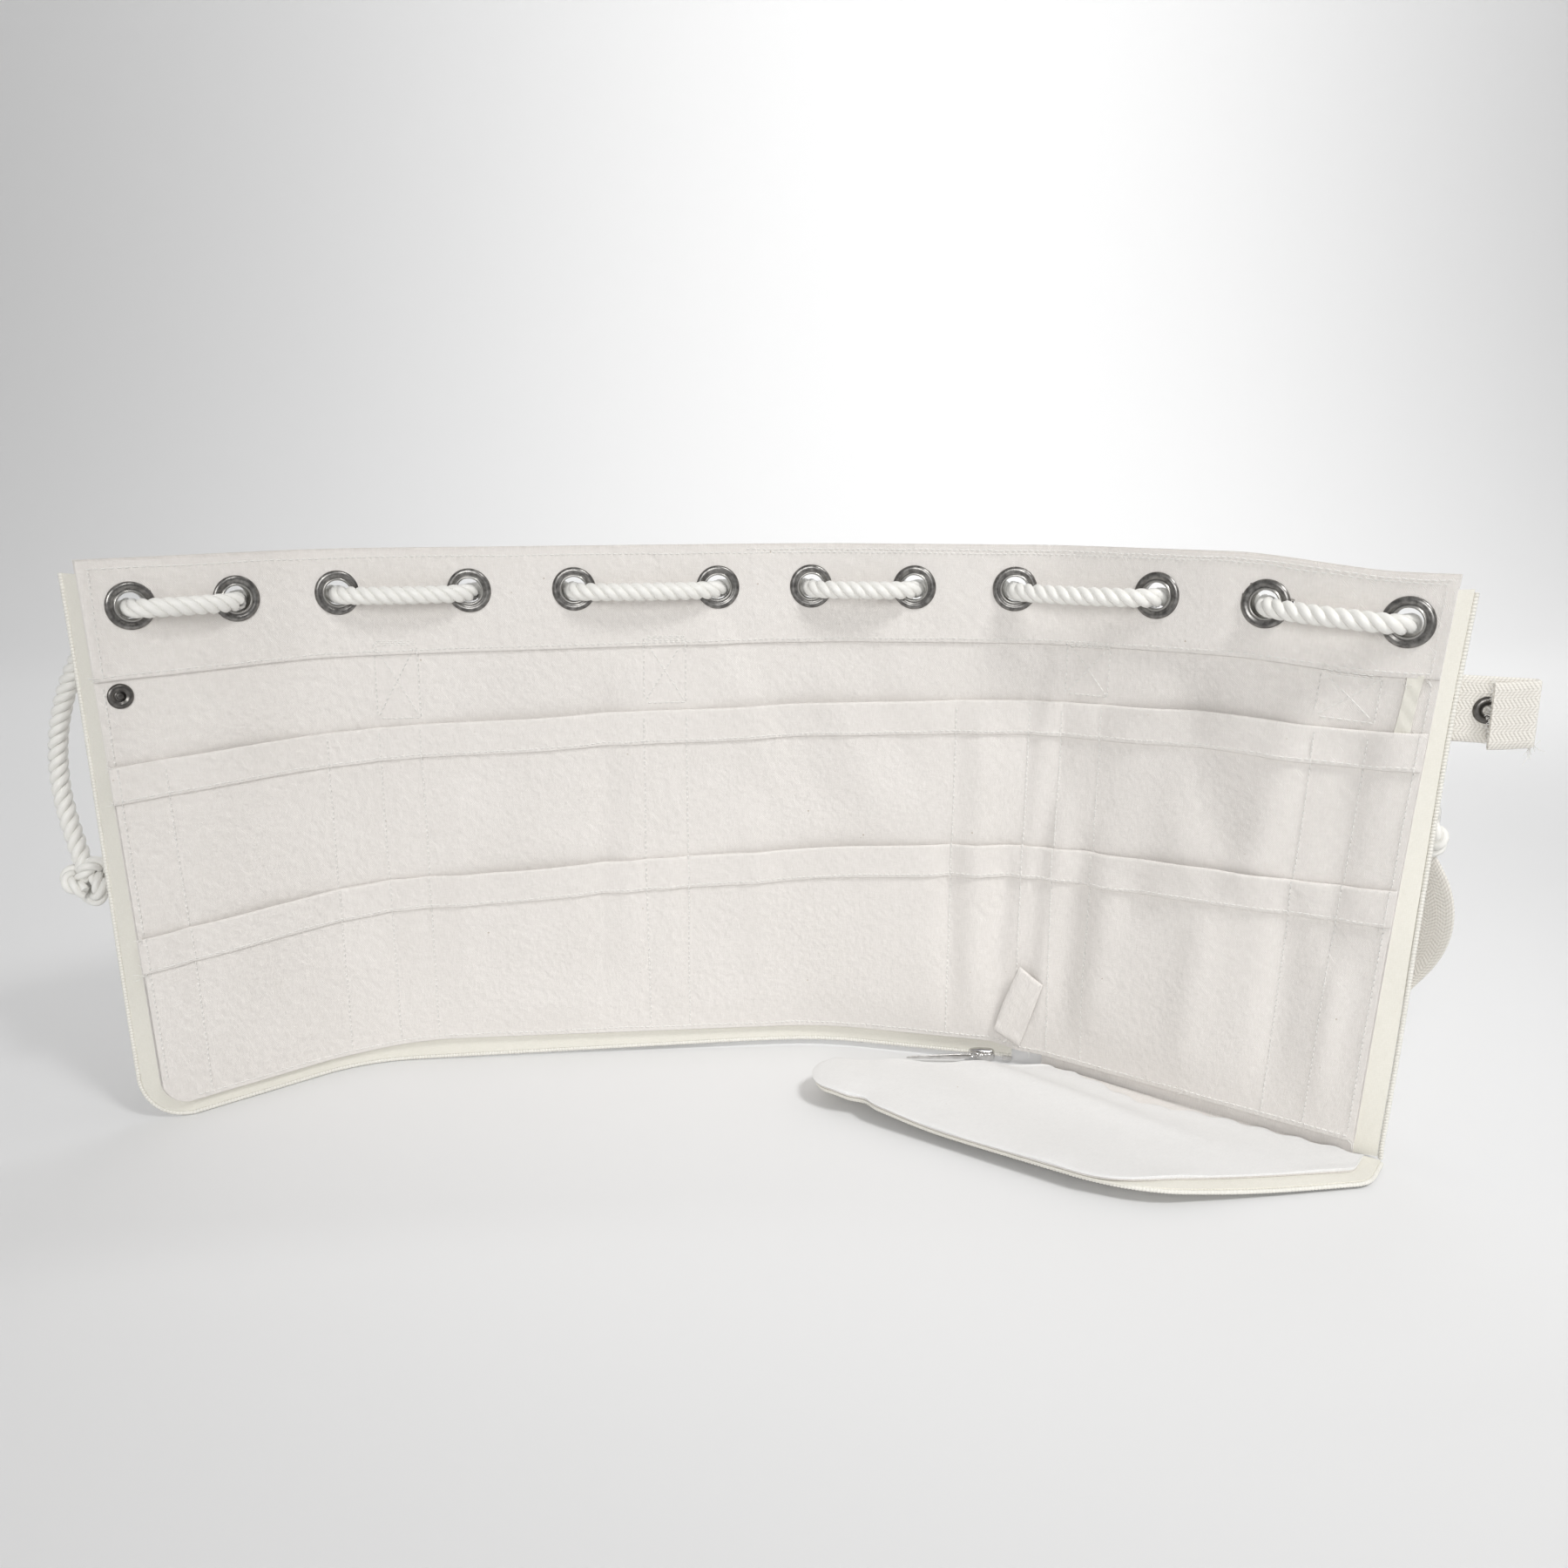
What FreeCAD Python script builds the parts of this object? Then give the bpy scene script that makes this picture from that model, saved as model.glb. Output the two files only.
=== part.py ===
import FreeCAD
import Part
import Sketcher
import math
import os

from FreeCAD import Placement, Rotation, Vector

# A drawstring canvas tool roll, unzipped and standing on its lower edge. The panel follows a bent
# line in plan. Heights are above the surface it stands on. +X runs along the panel, the pockets
# face -Y and +Z is up. Lengths are millimetres and angles degrees.

doc = FreeCAD.newDocument("tool_roll")
sheet = doc.addObject("Spreadsheet::Sheet", "Sizes")

DRIVING = [
    # Corners of the panel's line in plan, and the radius of the bend at each inner corner
    ("start_x", -299.3), ("start_y", -19.7),
    ("bend_one_x", -220.8), ("bend_one_y", 46.3), ("bend_one_radius", 80.0),
    ("bend_two_x", 21.2), ("bend_two_y", 65.3), ("bend_two_radius", 140.0),
    ("fold_x", 131.2), ("fold_y", 37.3), ("fold_radius", 60.0),
    ("end_x", 259.7), ("end_y", -58.7),
    # Panel: its heights, its cloths and the band of cloth along its top edge
    ("panel_top", 270.0), ("panel_bottom", 8.0), ("corner_radius", 14.0),
    ("outer_cloth", 1.2), ("inner_cloth", 0.9), ("pocket_cloth", 0.9), ("band_cloth", 1.2),
    ("cloth_gap", 0.3), ("layer_gap", 0.1),
    ("band_width_left", 54.0), ("band_width_right", 45.0),
    # Pocket rows: mouth heights at both ends, hem, and how far a wide pocket stands open
    ("upper_mouth_left", 177.0), ("upper_mouth_right", 201.0), ("upper_gape", 6.5),
    ("lower_mouth_left", 95.0), ("lower_mouth_right", 130.0), ("lower_gape", 8.0),
    ("row_overlap", 22.0), ("hem_width", 17.0), ("hem_cloth", 1.2), ("pocket_ramp", 9.0),
    ("pocket_foot_lift", 1.0),
    # Eyelets: distance below the top edge, bore, wall of the tube, width and height of the flange
    ("eyelet_drop", 21.0), ("eyelet_bore", 12.0), ("eyelet_wall", 1.0), ("eyelet_ring", 4.75),
    ("eyelet_rim", 1.2), ("eyelet_gap", 0.2), ("washer_play", 0.05),
    # Cord: distance of its runs from the panel's line, and its end knots
    ("cord_diameter", 9.0), ("cord_front", 10.5), ("cord_back", 9.5), ("cord_drop", 1.0),
    ("knot_radius", 11.0), ("knot_gap", 0.05),
    # Zip: half tape and coil
    ("side_tape", 11.0), ("tape_cloth", 0.8), ("side_tape_drop", 6.0), ("right_tape_low", 1.0),
    ("tape_corner", 20.0), ("tape_corner_end", 40.0),
    ("coil_width", 3.0), ("coil_thick", 2.2), ("lower_coil_tall", 2.5),
    ("coil_lift", 1.9), ("coil_lift_start", 150.0), ("coil_lift_end", 330.0),
    # Zip: retainer, slider and pull
    ("retainer_place", 441.0), ("retainer_length", 5.0), ("retainer_thick", 3.4),
    ("slider_place", 430.0), ("slider_length", 14.0), ("slider_thick", 6.4),
    ("slider_play", 0.35), ("slider_floor_gap", 0.3), ("slider_top_gap", 0.5),
    ("bail_radius", 2.6), ("bail_wire", 1.3),
    ("pull_length", 38.0), ("pull_tall", 5.0), ("pull_thick", 1.0), ("pull_height", 5.2),
    ("pull_nose", 3.0), ("pull_reach", 1.0), ("pull_eye_play", 0.4),
    # Webbing: straps sewn to the back, and the handle loops, which bulge off the back
    ("webbing_width", 28.0), ("webbing_thick", 2.0), ("strap_foot_lift", 4.0), ("strap_drop", 50.0),
    ("handle_thick", 2.4), ("handle_play", 0.4), ("handle_spread", 36.0), ("handle_flare", 4.0),
    ("handle_straight", 45.0), ("handle_wide_at", 112.0), ("handle_low", 42.0), ("handle_corner", 42.0),
    ("handle_bend", 30.0), ("handle_top_bend", 50.0), ("handle_bulge", 38.0), ("handle_bulge_at", 85.0),
    ("handle_hang", 60.0), ("handle_off", 6.0),
    # Snap: stud at the left end, and the tab at the right end that carries the socket and cap
    ("snap_drop", 61.0), ("snap_flange", 11.5), ("snap_hole", 4.0), ("snap_rim", 1.4), ("stud_place", 9.5),
    ("tab_length", 50.0), ("tab_fold", 18.0), ("tab_angle", 25.0), ("tab_snap", 31.0), ("tab_sewn", 17.0),
    ("tab_play", 0.3), ("tab_strap_gap", 1.3),
    # Base flap: cloths, tape round its edge, and the seam that joins it to the panel
    ("base_cloth", 1.2), ("base_lining_cloth", 0.9), ("base_tape", 7.0), ("base_tape_lift", 0.2),
    ("lining_inset", 1.0), ("seam_half", 1.2), ("seam_gap", 0.3), ("seam_clear", 14.0),
    # Finger tab by the zip's end, and the raw strip of tape by the right edge
    ("finger_width", 13.0), ("finger_long", 35.0), ("finger_thick", 1.6), ("finger_from_end", 166.8),
    ("finger_lift", 3.0), ("finger_lean", 14.0), ("finger_gap", 1.4),
    ("strip_width", 6.0), ("strip_thick", 0.8), ("strip_margin", 6.0), ("strip_gap", 1.0),
]
for row, (alias, value) in enumerate(DRIVING, start=1):
    sheet.set("A%d" % row, alias)
    sheet.set("B%d" % row, str(value))
    sheet.setAlias("B%d" % row, alias)
doc.recompute()

parts = []


def size(alias):
    """A driving size, or what an expression of driving sizes comes to."""
    return float(sheet.evalExpression(alias))


def keep(obj, label):
    """Name a finished sub-part, which also names its file."""
    obj.Label = label
    parts.append(obj)
    return obj


def feature(label, shape, placement=Placement()):
    """A sub-part whose shape follows the bent panel, set with Part's own functions."""
    obj = doc.addObject("Part::Feature", label)
    obj.Shape = shape
    obj.Placement = placement * shape.Placement
    return keep(obj, label)


def bound(kind, name, **rules):
    """A Part object whose properties follow expressions of the sheet."""
    obj = doc.addObject(kind, name)
    for prop, rule in rules.items():
        obj.setExpression(prop, rule)
    return obj


# ---------------------------------------------------------------- the line of the panel in plan

CORNERS = [
    (Vector(size("start_x"), size("start_y"), 0), 0.0),
    (Vector(size("bend_one_x"), size("bend_one_y"), 0), size("bend_one_radius")),
    (Vector(size("bend_two_x"), size("bend_two_y"), 0), size("bend_two_radius")),
    (Vector(size("fold_x"), size("fold_y"), 0), size("fold_radius")),
    (Vector(size("end_x"), size("end_y"), 0), 0.0),
]


def heading(a, b):
    return math.atan2(b.y - a.y, b.x - a.x)


def plan_pieces():
    """Straight runs and bends of the panel's line: (start length, length, point, heading, radius).

    Every bend turns towards the pockets, so its centre is on the pocket side."""
    pieces, place, at = [], 0.0, CORNERS[0][0]
    for index in range(1, len(CORNERS)):
        corner, radius = CORNERS[index]
        way = heading(CORNERS[index - 1][0], corner)
        turn, cut = 0.0, 0.0
        if index + 1 < len(CORNERS):
            turn = way - heading(corner, CORNERS[index + 1][0])
            cut = radius * math.tan(turn / 2)
        run = (corner - at).Length - cut
        pieces.append((place, run, at, way, 0.0))
        place += run
        if turn:
            bend_start = corner - Vector(math.cos(way), math.sin(way), 0) * cut
            pieces.append((place, radius * turn, bend_start, way, radius))
            place += radius * turn
            way -= turn
            at = corner + Vector(math.cos(way), math.sin(way), 0) * cut
    return pieces, place


PIECES, LENGTH = plan_pieces()


def on_line(place):
    """Point and heading of the panel's line at a length along it; past the ends it runs straight."""
    for start, run, at, way, radius in reversed(PIECES):
        if place >= start or start == 0.0:
            break
    along = place - start
    if not radius:
        return at + Vector(math.cos(way), math.sin(way), 0) * along, way
    centre = at + Vector(math.sin(way), -math.cos(way), 0) * radius
    now = way - along / radius
    return centre - Vector(math.sin(now), -math.cos(now), 0) * radius, now


def spot(place, inward, height):
    """A point beside the line: inward is towards the pockets, negative towards the back."""
    at, way = on_line(place)
    return at + Vector(math.sin(way) * inward, -math.cos(way) * inward, height)


def on_wall(place, inward=0.0, height=0.0):
    """Placement of a piece drawn with X along the wall, Y to the back and Z up."""
    turn = Rotation(Vector(0, 0, 1), math.degrees(on_line(place)[1]))
    return Placement(spot(place, inward, height), turn)


def stretch_edges(first, last, inward):
    """Edges of the offset line between two lengths, with its bends as true arcs."""
    marks = [first] + [p[0] for p in PIECES if first < p[0] < last] + [last]
    edges = []
    for a, b in zip(marks, marks[1:]):
        middle = (a + b) / 2
        bent = any(p[4] and p[0] <= middle <= p[0] + p[1] for p in PIECES)
        ends = spot(a, inward, 0), spot(b, inward, 0)
        if bent:
            edges.append(Part.Arc(ends[0], spot(middle, inward, 0), ends[1]).toShape())
        else:
            edges.append(Part.LineSegment(*ends).toShape())
    return edges


def wall(first, last, inner, outer, low, high):
    """An upright layer of the panel: from inner to outer beside the line, from low to high."""
    edges = stretch_edges(first, last, inner) + stretch_edges(first, last, outer)
    for place in (first, last):
        edges.append(Part.LineSegment(spot(place, inner, 0), spot(place, outer, 0)).toShape())
    face = Part.Face(Part.Wire(Part.sortEdges(edges)[0]))
    upright = face.extrude(Vector(0, 0, high - low))
    upright.translate(Vector(0, 0, low))
    return upright


def stations(first, last, extra=()):
    """Lengths at which a pieced layer has an edge: its ends, its bends in steps, and the extras."""
    step = 11.0
    marks = {first, last}
    for start, run, _, _, radius in PIECES:
        steps = math.ceil(run / step) if radius else 1
        marks.update(start + run * i / steps for i in range(steps + 1))
    marks.update(extra)
    inside = sorted(m for m in marks if first <= m <= last)
    return [m for i, m in enumerate(inside) if i == 0 or m - inside[i - 1] > 0.01]


def layer(first, last, thick, levels, extra=()):
    """A cloth layer whose distance from the line and whose heights may change along it.

    levels are pairs of functions of the length along the line, from the foot to the top: the
    height, and the distance of the inner face there. Layers with the same levels stay parallel,
    because every cell is split on the diagonal from its lower left corner."""
    sections = []
    for place in stations(first, last, extra):
        inner = [spot(place, inward(place), height(place)) for height, inward in levels]
        outer = [spot(place, inward(place) + thick, height(place)) for height, inward in levels]
        sections.append(inner + outer[::-1])
    count = 2 * len(levels)
    faces = [Part.Face(Part.makePolygon(s + [s[0]])) for s in (sections[0], sections[-1])]
    for one, two in zip(sections, sections[1:]):
        for i in range(count):
            a, b, c, d = one[i], one[(i + 1) % count], two[(i + 1) % count], two[i]
            halves = ((a, b, c), (a, c, d)) if i < len(levels) else ((a, b, d), (b, c, d))
            faces += [Part.Face(Part.makePolygon([p, q, r, p])) for p, q, r in halves]
    solid = Part.makeSolid(Part.makeShell(faces))
    if solid.Volume < 0:
        solid.reverse()
    return solid


def level(value):
    """The same height or distance all along the line."""
    return lambda place: value


def slope(left, right):
    """A height that changes evenly from the left end of the panel to the right end."""
    return lambda place: left + (right - left) * place / LENGTH


# Places along the line. Those right of the fold are measured from the right end.

WEB, WEBBING = size("webbing_width"), size("webbing_thick")
LAST_STRAP = LENGTH - size("tab_sewn") - size("tab_strap_gap") - WEB / 2
STRAP_PLACES = (129.0, 261.5, LAST_STRAP - 110.0, LAST_STRAP)
EYELET_PLACES = [18, 58, 103, 166, 217, 288, 335, 387, 436] + [LENGTH - d for d in (110.8, 63.8, 15.8)]
WIDE_POCKETS = ((22, 93), (139, 251), (272, 411), (LENGTH - 132.8, LENGTH - 41.8))

# ------------------------------------------------------------------------------ the canvas panel

OUTER, INNER, CLOTH = size("outer_cloth"), size("inner_cloth"), size("pocket_cloth")
TOP, BOTTOM = size("panel_top"), size("panel_bottom")
EYELET_Z, SNAP_Z, STRAP_TOP = TOP - size("eyelet_drop"), TOP - size("snap_drop"), TOP - size("strap_drop")
FACE = INNER + size("cloth_gap")
BAND_FACE = INNER + size("layer_gap")
SEAT = BAND_FACE + size("band_cloth")
BORE = size("eyelet_bore") / 2
BARREL, FLANGE = BORE + size("eyelet_wall"), BORE + size("eyelet_ring")
THROUGH = 10.0


def corner_cutter(radius, left, low):
    """What a rounded lower left corner leaves out of an upright layer on the first run."""
    block = Part.makeBox(radius, 2 * THROUGH, radius, Vector(left, -THROUGH, low))
    drum_end = Vector(left + radius, -2 * THROUGH, low + radius)
    drum = Part.makeCylinder(radius, 4 * THROUGH, drum_end, Vector(0, 1, 0))
    cutter = block.cut(drum)
    cutter.Placement = on_wall(0)
    return cutter


def drill(place, height, radius, near, far):
    """A round cutter square to the wall, from near to far on the pocket side of the line."""
    rod = Part.makeCylinder(radius, far - near, Vector(0, -near, 0), Vector(0, -1, 0))
    rod.Placement = on_wall(place, 0, height)
    return rod


def eyelet_cuts(radius, near):
    return [drill(place, EYELET_Z, radius + size("eyelet_gap"), near, THROUGH) for place in EYELET_PLACES]


stud_cut = drill(size("stud_place"), SNAP_Z, size("snap_hole") / 2 + size("eyelet_gap"), -THROUGH, THROUGH)
round_corner = corner_cutter(size("corner_radius"), 0, BOTTOM)
panel_cuts = eyelet_cuts(BARREL, -THROUGH) + [stud_cut, round_corner]
feature("outer_canvas", wall(0, LENGTH, -OUTER, 0, BOTTOM, TOP).cut(panel_cuts))
feature("inner_canvas", wall(0, LENGTH, 0, INNER, BOTTOM, TOP).cut(panel_cuts))

band_low = slope(TOP - size("band_width_left"), TOP - size("band_width_right"))
band = layer(0, LENGTH, size("band_cloth"), [(band_low, level(BAND_FACE)), (level(TOP), level(BAND_FACE))])
feature("eyelet_band", band.cut(eyelet_cuts(BARREL, -THROUGH) + eyelet_cuts(FLANGE, SEAT)))

# ----------------------------------------------------------------------- the two rows of pockets

RAMP = size("pocket_ramp")
upper_mouth = slope(size("upper_mouth_left"), size("upper_mouth_right"))
lower_mouth = slope(size("lower_mouth_left"), size("lower_mouth_right"))
upper_foot = slope(size("lower_mouth_left - row_overlap"), size("lower_mouth_right - row_overlap"))
lower_foot = level(BOTTOM + size("pocket_foot_lift"))
LOWER_FACE = FACE + CLOTH + size("cloth_gap")
ramp_marks = [mark for first, last in WIDE_POCKETS for mark in (first, first + RAMP, last - RAMP, last)]
flat_ends = [0.0] + [mark for pocket in WIDE_POCKETS for mark in pocket] + [LENGTH]


def pocket_row(row, mouth, foot, rest, opening):
    """Four wide pockets, the flat cloth between them and the hem along their mouths.

    The inner face is flat at the foot and at the seams, and stands open at a wide mouth."""
    def hem_low(place):
        return mouth(place) - size("hem_width")

    def face_at(height, off=0.0):
        def inward(place):
            share = (height(place) - foot(place)) / (mouth(place) - foot(place))
            for first, last in WIDE_POCKETS:
                if first < place < last:
                    ramp = min(1.0, (place - first) / RAMP, (last - place) / RAMP)
                    return rest + off + opening * share * ramp
            return rest + off
        return inward

    levels = [(height, face_at(height)) for height in (foot, hem_low, mouth)]
    for number, (first, last) in enumerate(WIDE_POCKETS, start=1):
        feature("%s_pocket_%d" % (row, number), layer(first, last, CLOTH, levels, ramp_marks))
    flats = [layer(first, last, CLOTH, levels).cut(round_corner)
             for first, last in zip(flat_ends[::2], flat_ends[1::2])]
    feature(row + "_slot_pockets", Part.makeCompound(flats))
    off = CLOTH + size("layer_gap")
    hem_levels = [(height, face_at(height, off)) for height in (hem_low, mouth)]
    feature(row + "_pocket_hem", layer(0, LENGTH, size("hem_cloth"), hem_levels, ramp_marks))


pocket_row("upper", upper_mouth, upper_foot, FACE, size("upper_gape"))
pocket_row("lower", lower_mouth, lower_foot, LOWER_FACE, size("lower_gape"))

# -------------------------------------------------------------------------------------- eyelets

RIM = size("eyelet_rim")
plate = Part.makeCylinder(FLANGE, RIM, Vector(0, -SEAT, 0), Vector(0, -1, 0))
tube = Part.makeCylinder(BARREL, SEAT + OUTER + RIM, Vector(0, OUTER + RIM, 0), Vector(0, -1, 0))
front = plate.fuse(tube).removeSplitter()
lip = [e for e in front.Edges if e.BoundBox.YMax < 0.01 - SEAT - RIM and e.BoundBox.XLength > 2 * BARREL]
front = front.makeFillet(RIM * 0.6, lip)
front = front.cut(Part.makeCylinder(BORE, 2 * THROUGH, Vector(0, THROUGH, 0), Vector(0, -1, 0)))
washer = Part.makeCylinder(FLANGE, RIM, Vector(0, OUTER, 0), Vector(0, 1, 0))
washer = washer.cut(Part.makeCylinder(BARREL + size("washer_play"), THROUGH, Vector(), Vector(0, 1, 0)))


def at_eyelets(ring):
    copies = []
    for place in EYELET_PLACES:
        copy = ring.copy()
        copy.Placement = on_wall(place, 0, EYELET_Z)
        copies.append(copy)
    return Part.makeCompound(copies)


feature("eyelet_barrels", at_eyelets(front))
feature("eyelet_washers", at_eyelets(washer))

# --------------------------------------------------------------------------- straps and handles

strap_low = BOTTOM + size("strap_foot_lift")
for number, place in enumerate(STRAP_PLACES, start=1):
    strap = wall(place - WEB / 2, place + WEB / 2, -OUTER - WEBBING, -OUTER, strap_low, STRAP_TOP)
    feature("sewn_strap_%d" % number, strap)


def rounded_run(points, radii):
    """One wire of straight runs joined by tangent arcs, with a radius for each inner point."""
    edges, at = [], points[0]
    for before, point, after, radius in zip(points, points[1:], points[2:], radii):
        back, ahead = (before - point).normalize(), (after - point).normalize()
        turn = math.pi - back.getAngle(ahead)
        cut = radius * math.tan(turn / 2)
        start, end = point + back * cut, point + ahead * cut
        centre_way = (back + ahead).normalize()
        centre = point + centre_way * (radius / math.cos(turn / 2))
        edges.append(Part.LineSegment(at, start).toShape())
        edges.append(Part.Arc(start, centre - centre_way * radius, end).toShape())
        at = end
    edges.append(Part.LineSegment(at, points[-1]).toShape())
    return Part.Wire(edges)


def swept(path, corners):
    """A section, given by its corners, carried along a path."""
    return path.makePipeShell([Part.makePolygon(corners + [corners[0]])], True, False)


def handle(half):
    """Webbing loop whose ends are 2 x half apart: a band that bulges off the back as it hangs.

    It is the overlap of the loop's outline seen square to the wall and its bulge seen from the side."""
    wide, neck = half + size("handle_spread"), half + size("handle_flare")
    low, wide_at, neck_at = size("handle_low"), size("handle_wide_at"), STRAP_TOP - size("handle_straight")
    sole = wide - size("handle_corner")
    line = [Vector(-half, 0, STRAP_TOP), Vector(-neck, 0, neck_at), Vector(-wide, 0, wide_at),
            Vector(-sole, 0, low), Vector(sole, 0, low), Vector(wide, 0, wide_at),
            Vector(neck, 0, neck_at), Vector(half, 0, STRAP_TOP)]
    bends = [size("handle_top_bend")] + 4 * [size("handle_bend")] + [size("handle_top_bend")]
    way = (line[1] - line[0]).normalize()
    across = Vector(way.z, 0, -way.x) * (WEB / 2)
    deep = Vector(0, 3 * size("handle_bulge"), 0)
    edge_on = [line[0] + across, line[0] - across, line[0] - across + deep, line[0] + across + deep]
    outline = swept(rounded_run(line, bends), edge_on)
    half_thick, bulge = size("handle_thick / 2"), size("handle_bulge")
    near = OUTER + WEBBING + size("handle_play") + half_thick
    side = [Vector(0, near, STRAP_TOP), Vector(0, near + size("handle_off"), STRAP_TOP - size("handle_hang")),
            Vector(0, bulge, size("handle_bulge_at")), Vector(0, 0.9 * bulge, low - WEB)]
    way = (side[1] - side[0]).normalize()
    out = Vector(0, way.z, -way.y) * half_thick
    reach = Vector(wide + WEB, 0, 0)
    strip = [side[0] + out - reach, side[0] - out - reach, side[0] - out + reach, side[0] + out + reach]
    bulged = swept(rounded_run(side, 2 * [size("handle_hang")]), strip)
    return outline.common(bulged)


for name, (first, last) in (("left", STRAP_PLACES[:2]), ("right", STRAP_PLACES[2:])):
    feature("handle_loop_" + name, handle((last - first) / 2), on_wall((first + last) / 2))

# ------------------------------------------------------------------ zip tape and coil of the panel

TAPE, SIDE_TAPE, TAPE_TOP = size("tape_cloth"), size("side_tape"), TOP - size("side_tape_drop")
COIL, COIL_THICK, COIL_TALL = size("coil_width"), size("coil_thick"), size("lower_coil_tall")
CORNER_END = size("tape_corner_end")
LIFT_MARKS = (size("coil_lift_start"), size("coil_lift_end"))


def coil_low(place):
    """Underside of the lower coil: it rises off the surface along the middle of the panel."""
    share = (place - LIFT_MARKS[0]) / (LIFT_MARKS[1] - LIFT_MARKS[0])
    return size("coil_lift") * min(1.0, max(0.0, share))


def coil_top(place):
    return coil_low(place) + COIL_TALL


def corner_plate(left, low, radius, thick):
    """Upright plate at the left end of the panel with its lower left corner rounded."""
    rounding = corner_cutter(radius, left, low)
    plate = Part.makeBox(CORNER_END - left, thick, TAPE_TOP - low, Vector(left, -thick / 2, low))
    plate.Placement = on_wall(0)
    return plate.cut(rounding)


def lower_strip(first, last, thick, low, high):
    """Strip along the lower edge between two lengths along the line."""
    middle = level(-thick / 2)
    return layer(first, last, thick, [(low, middle), (high, middle)], LIFT_MARKS)


retainer_at = size("retainer_place")
tape_corner = corner_plate(-SIDE_TAPE, COIL_TALL, size("tape_corner"), TAPE)
coil_corner = corner_plate(-SIDE_TAPE - COIL, 0, size("tape_corner + coil_width"), COIL_THICK)
inside_tape = corner_plate(0, BOTTOM, size("corner_radius"), 2 * COIL_THICK)
inside_coil = corner_plate(-SIDE_TAPE, COIL_TALL, size("tape_corner"), 2 * COIL_THICK)
tape_end = retainer_at + 1.4 * size("retainer_length")
lower_tape = lower_strip(CORNER_END, tape_end, TAPE, coil_top, level(BOTTOM))
resting_coil = lower_strip(CORNER_END, LIFT_MARKS[0], COIL_THICK, coil_low, coil_top)
feature("left_zip_tape", tape_corner.cut(inside_tape).fuse(lower_tape).removeSplitter())
feature("left_zip_coil", coil_corner.cut(inside_coil).fuse(resting_coil).removeSplitter())
feature("lower_zip_coil", lower_strip(LIFT_MARKS[0], retainer_at, COIL_THICK, coil_low, coil_top))

right_edge = LENGTH + SIDE_TAPE
right_tape = wall(LENGTH, right_edge, -TAPE / 2, TAPE / 2, size("right_tape_low"), TAPE_TOP)
feature("right_zip_tape", right_tape)
feature("right_zip_coil", wall(right_edge, right_edge + COIL, -COIL_THICK / 2, COIL_THICK / 2, 0, TAPE_TOP))

# ------------------------------------------------------------------ zip retainer, slider and pull


def outline_sketch(body, role, corners, name):
    """Closed outline on one of a body's origin planes, with every corner bound to the sheet."""
    sketch = body.newObject("Sketcher::SketchObject", name)
    plane = next(plane for plane in body.Origin.OriginFeatures if plane.Role == role)
    sketch.AttachmentSupport = (plane, "")
    sketch.MapMode = "FlatFace"
    doc.recompute()
    points = [Vector(size(x), size(y), 0) for x, y in corners]
    for one, two in zip(points, points[1:] + points[:1]):
        sketch.addGeometry(Part.LineSegment(one, two), False)
    for i, (point, rules) in enumerate(zip(points, corners)):
        sketch.addConstraint(Sketcher.Constraint("Coincident", i, 2, (i + 1) % len(points), 1))
        for kind, value, rule in zip(("DistanceX", "DistanceY"), point, rules):
            number = sketch.addConstraint(Sketcher.Constraint(kind, -1, 1, i, 1, value))
            sketch.setExpression("Constraints[%d]" % number, rule)
    doc.recompute()
    return sketch


def outline_pad(label, role, corners, length):
    """A body padded both ways from a closed outline whose corners are pairs of expressions."""
    body = doc.addObject("PartDesign::Body", label)
    sketch = outline_sketch(body, role, corners, label + "_outline")
    pad = body.newObject("PartDesign::Pad", label + "_pad")
    pad.Profile = sketch
    pad.Midplane = True
    pad.setExpression("Length", length)
    doc.recompute()
    return body


def moved(x=0.0, y=0.0, z=0.0, turn=Rotation()):
    return Placement(Vector(x, y, z), turn)


BACKWARD = Rotation(Vector(1, 0, 0), -90)

retainer = bound("Part::Box", "zip_retainer", Length="Sizes.retainer_length",
                 Width="Sizes.retainer_thick", Height="Sizes.lower_coil_tall")
retainer.Placement = on_wall(retainer_at, 0, coil_low(retainer_at)) * moved(y=-size("retainer_thick / 2"))
keep(retainer, "zip_retainer")

half_thick = "Sizes.slider_thick / 2"
half_slot = "(Sizes.tape_cloth / 2 + Sizes.slider_play)"
half_channel = "(Sizes.coil_thick / 2 + Sizes.slider_play)"
sole, roof = "Sizes.slider_floor_gap", "Sizes.panel_bottom - Sizes.slider_top_gap"
channel_low = "Sizes.coil_lift - Sizes.slider_play"
channel_top = "Sizes.coil_lift + Sizes.lower_coil_tall + Sizes.slider_play"
slider_outline = [
    ("-" + half_thick, sole), (half_thick, sole), (half_thick, roof), (half_slot, roof),
    (half_slot, channel_top), (half_channel, channel_top), (half_channel, channel_low),
    ("-" + half_channel, channel_low), ("-" + half_channel, channel_top),
    ("-" + half_slot, channel_top), ("-" + half_slot, roof), ("-" + half_thick, roof),
]
slider = outline_pad("zip_slider", "YZ_Plane", slider_outline, "Sizes.slider_length")
slider.Placement = on_wall(size("slider_place"))
keep(slider, "zip_slider_body")

PULL_Z = size("pull_height")
bail = bound("Part::Torus", "zip_bail", Radius1="Sizes.bail_radius", Radius2="Sizes.bail_wire / 2")
bail.Angle3 = 180
half_round = Rotation(Vector(0, 0, 1), 180)
bail.Placement = slider.Placement * moved(y=-size("slider_thick / 2"), z=PULL_Z, turn=half_round)
keep(bail, "zip_slider_bail")

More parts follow.
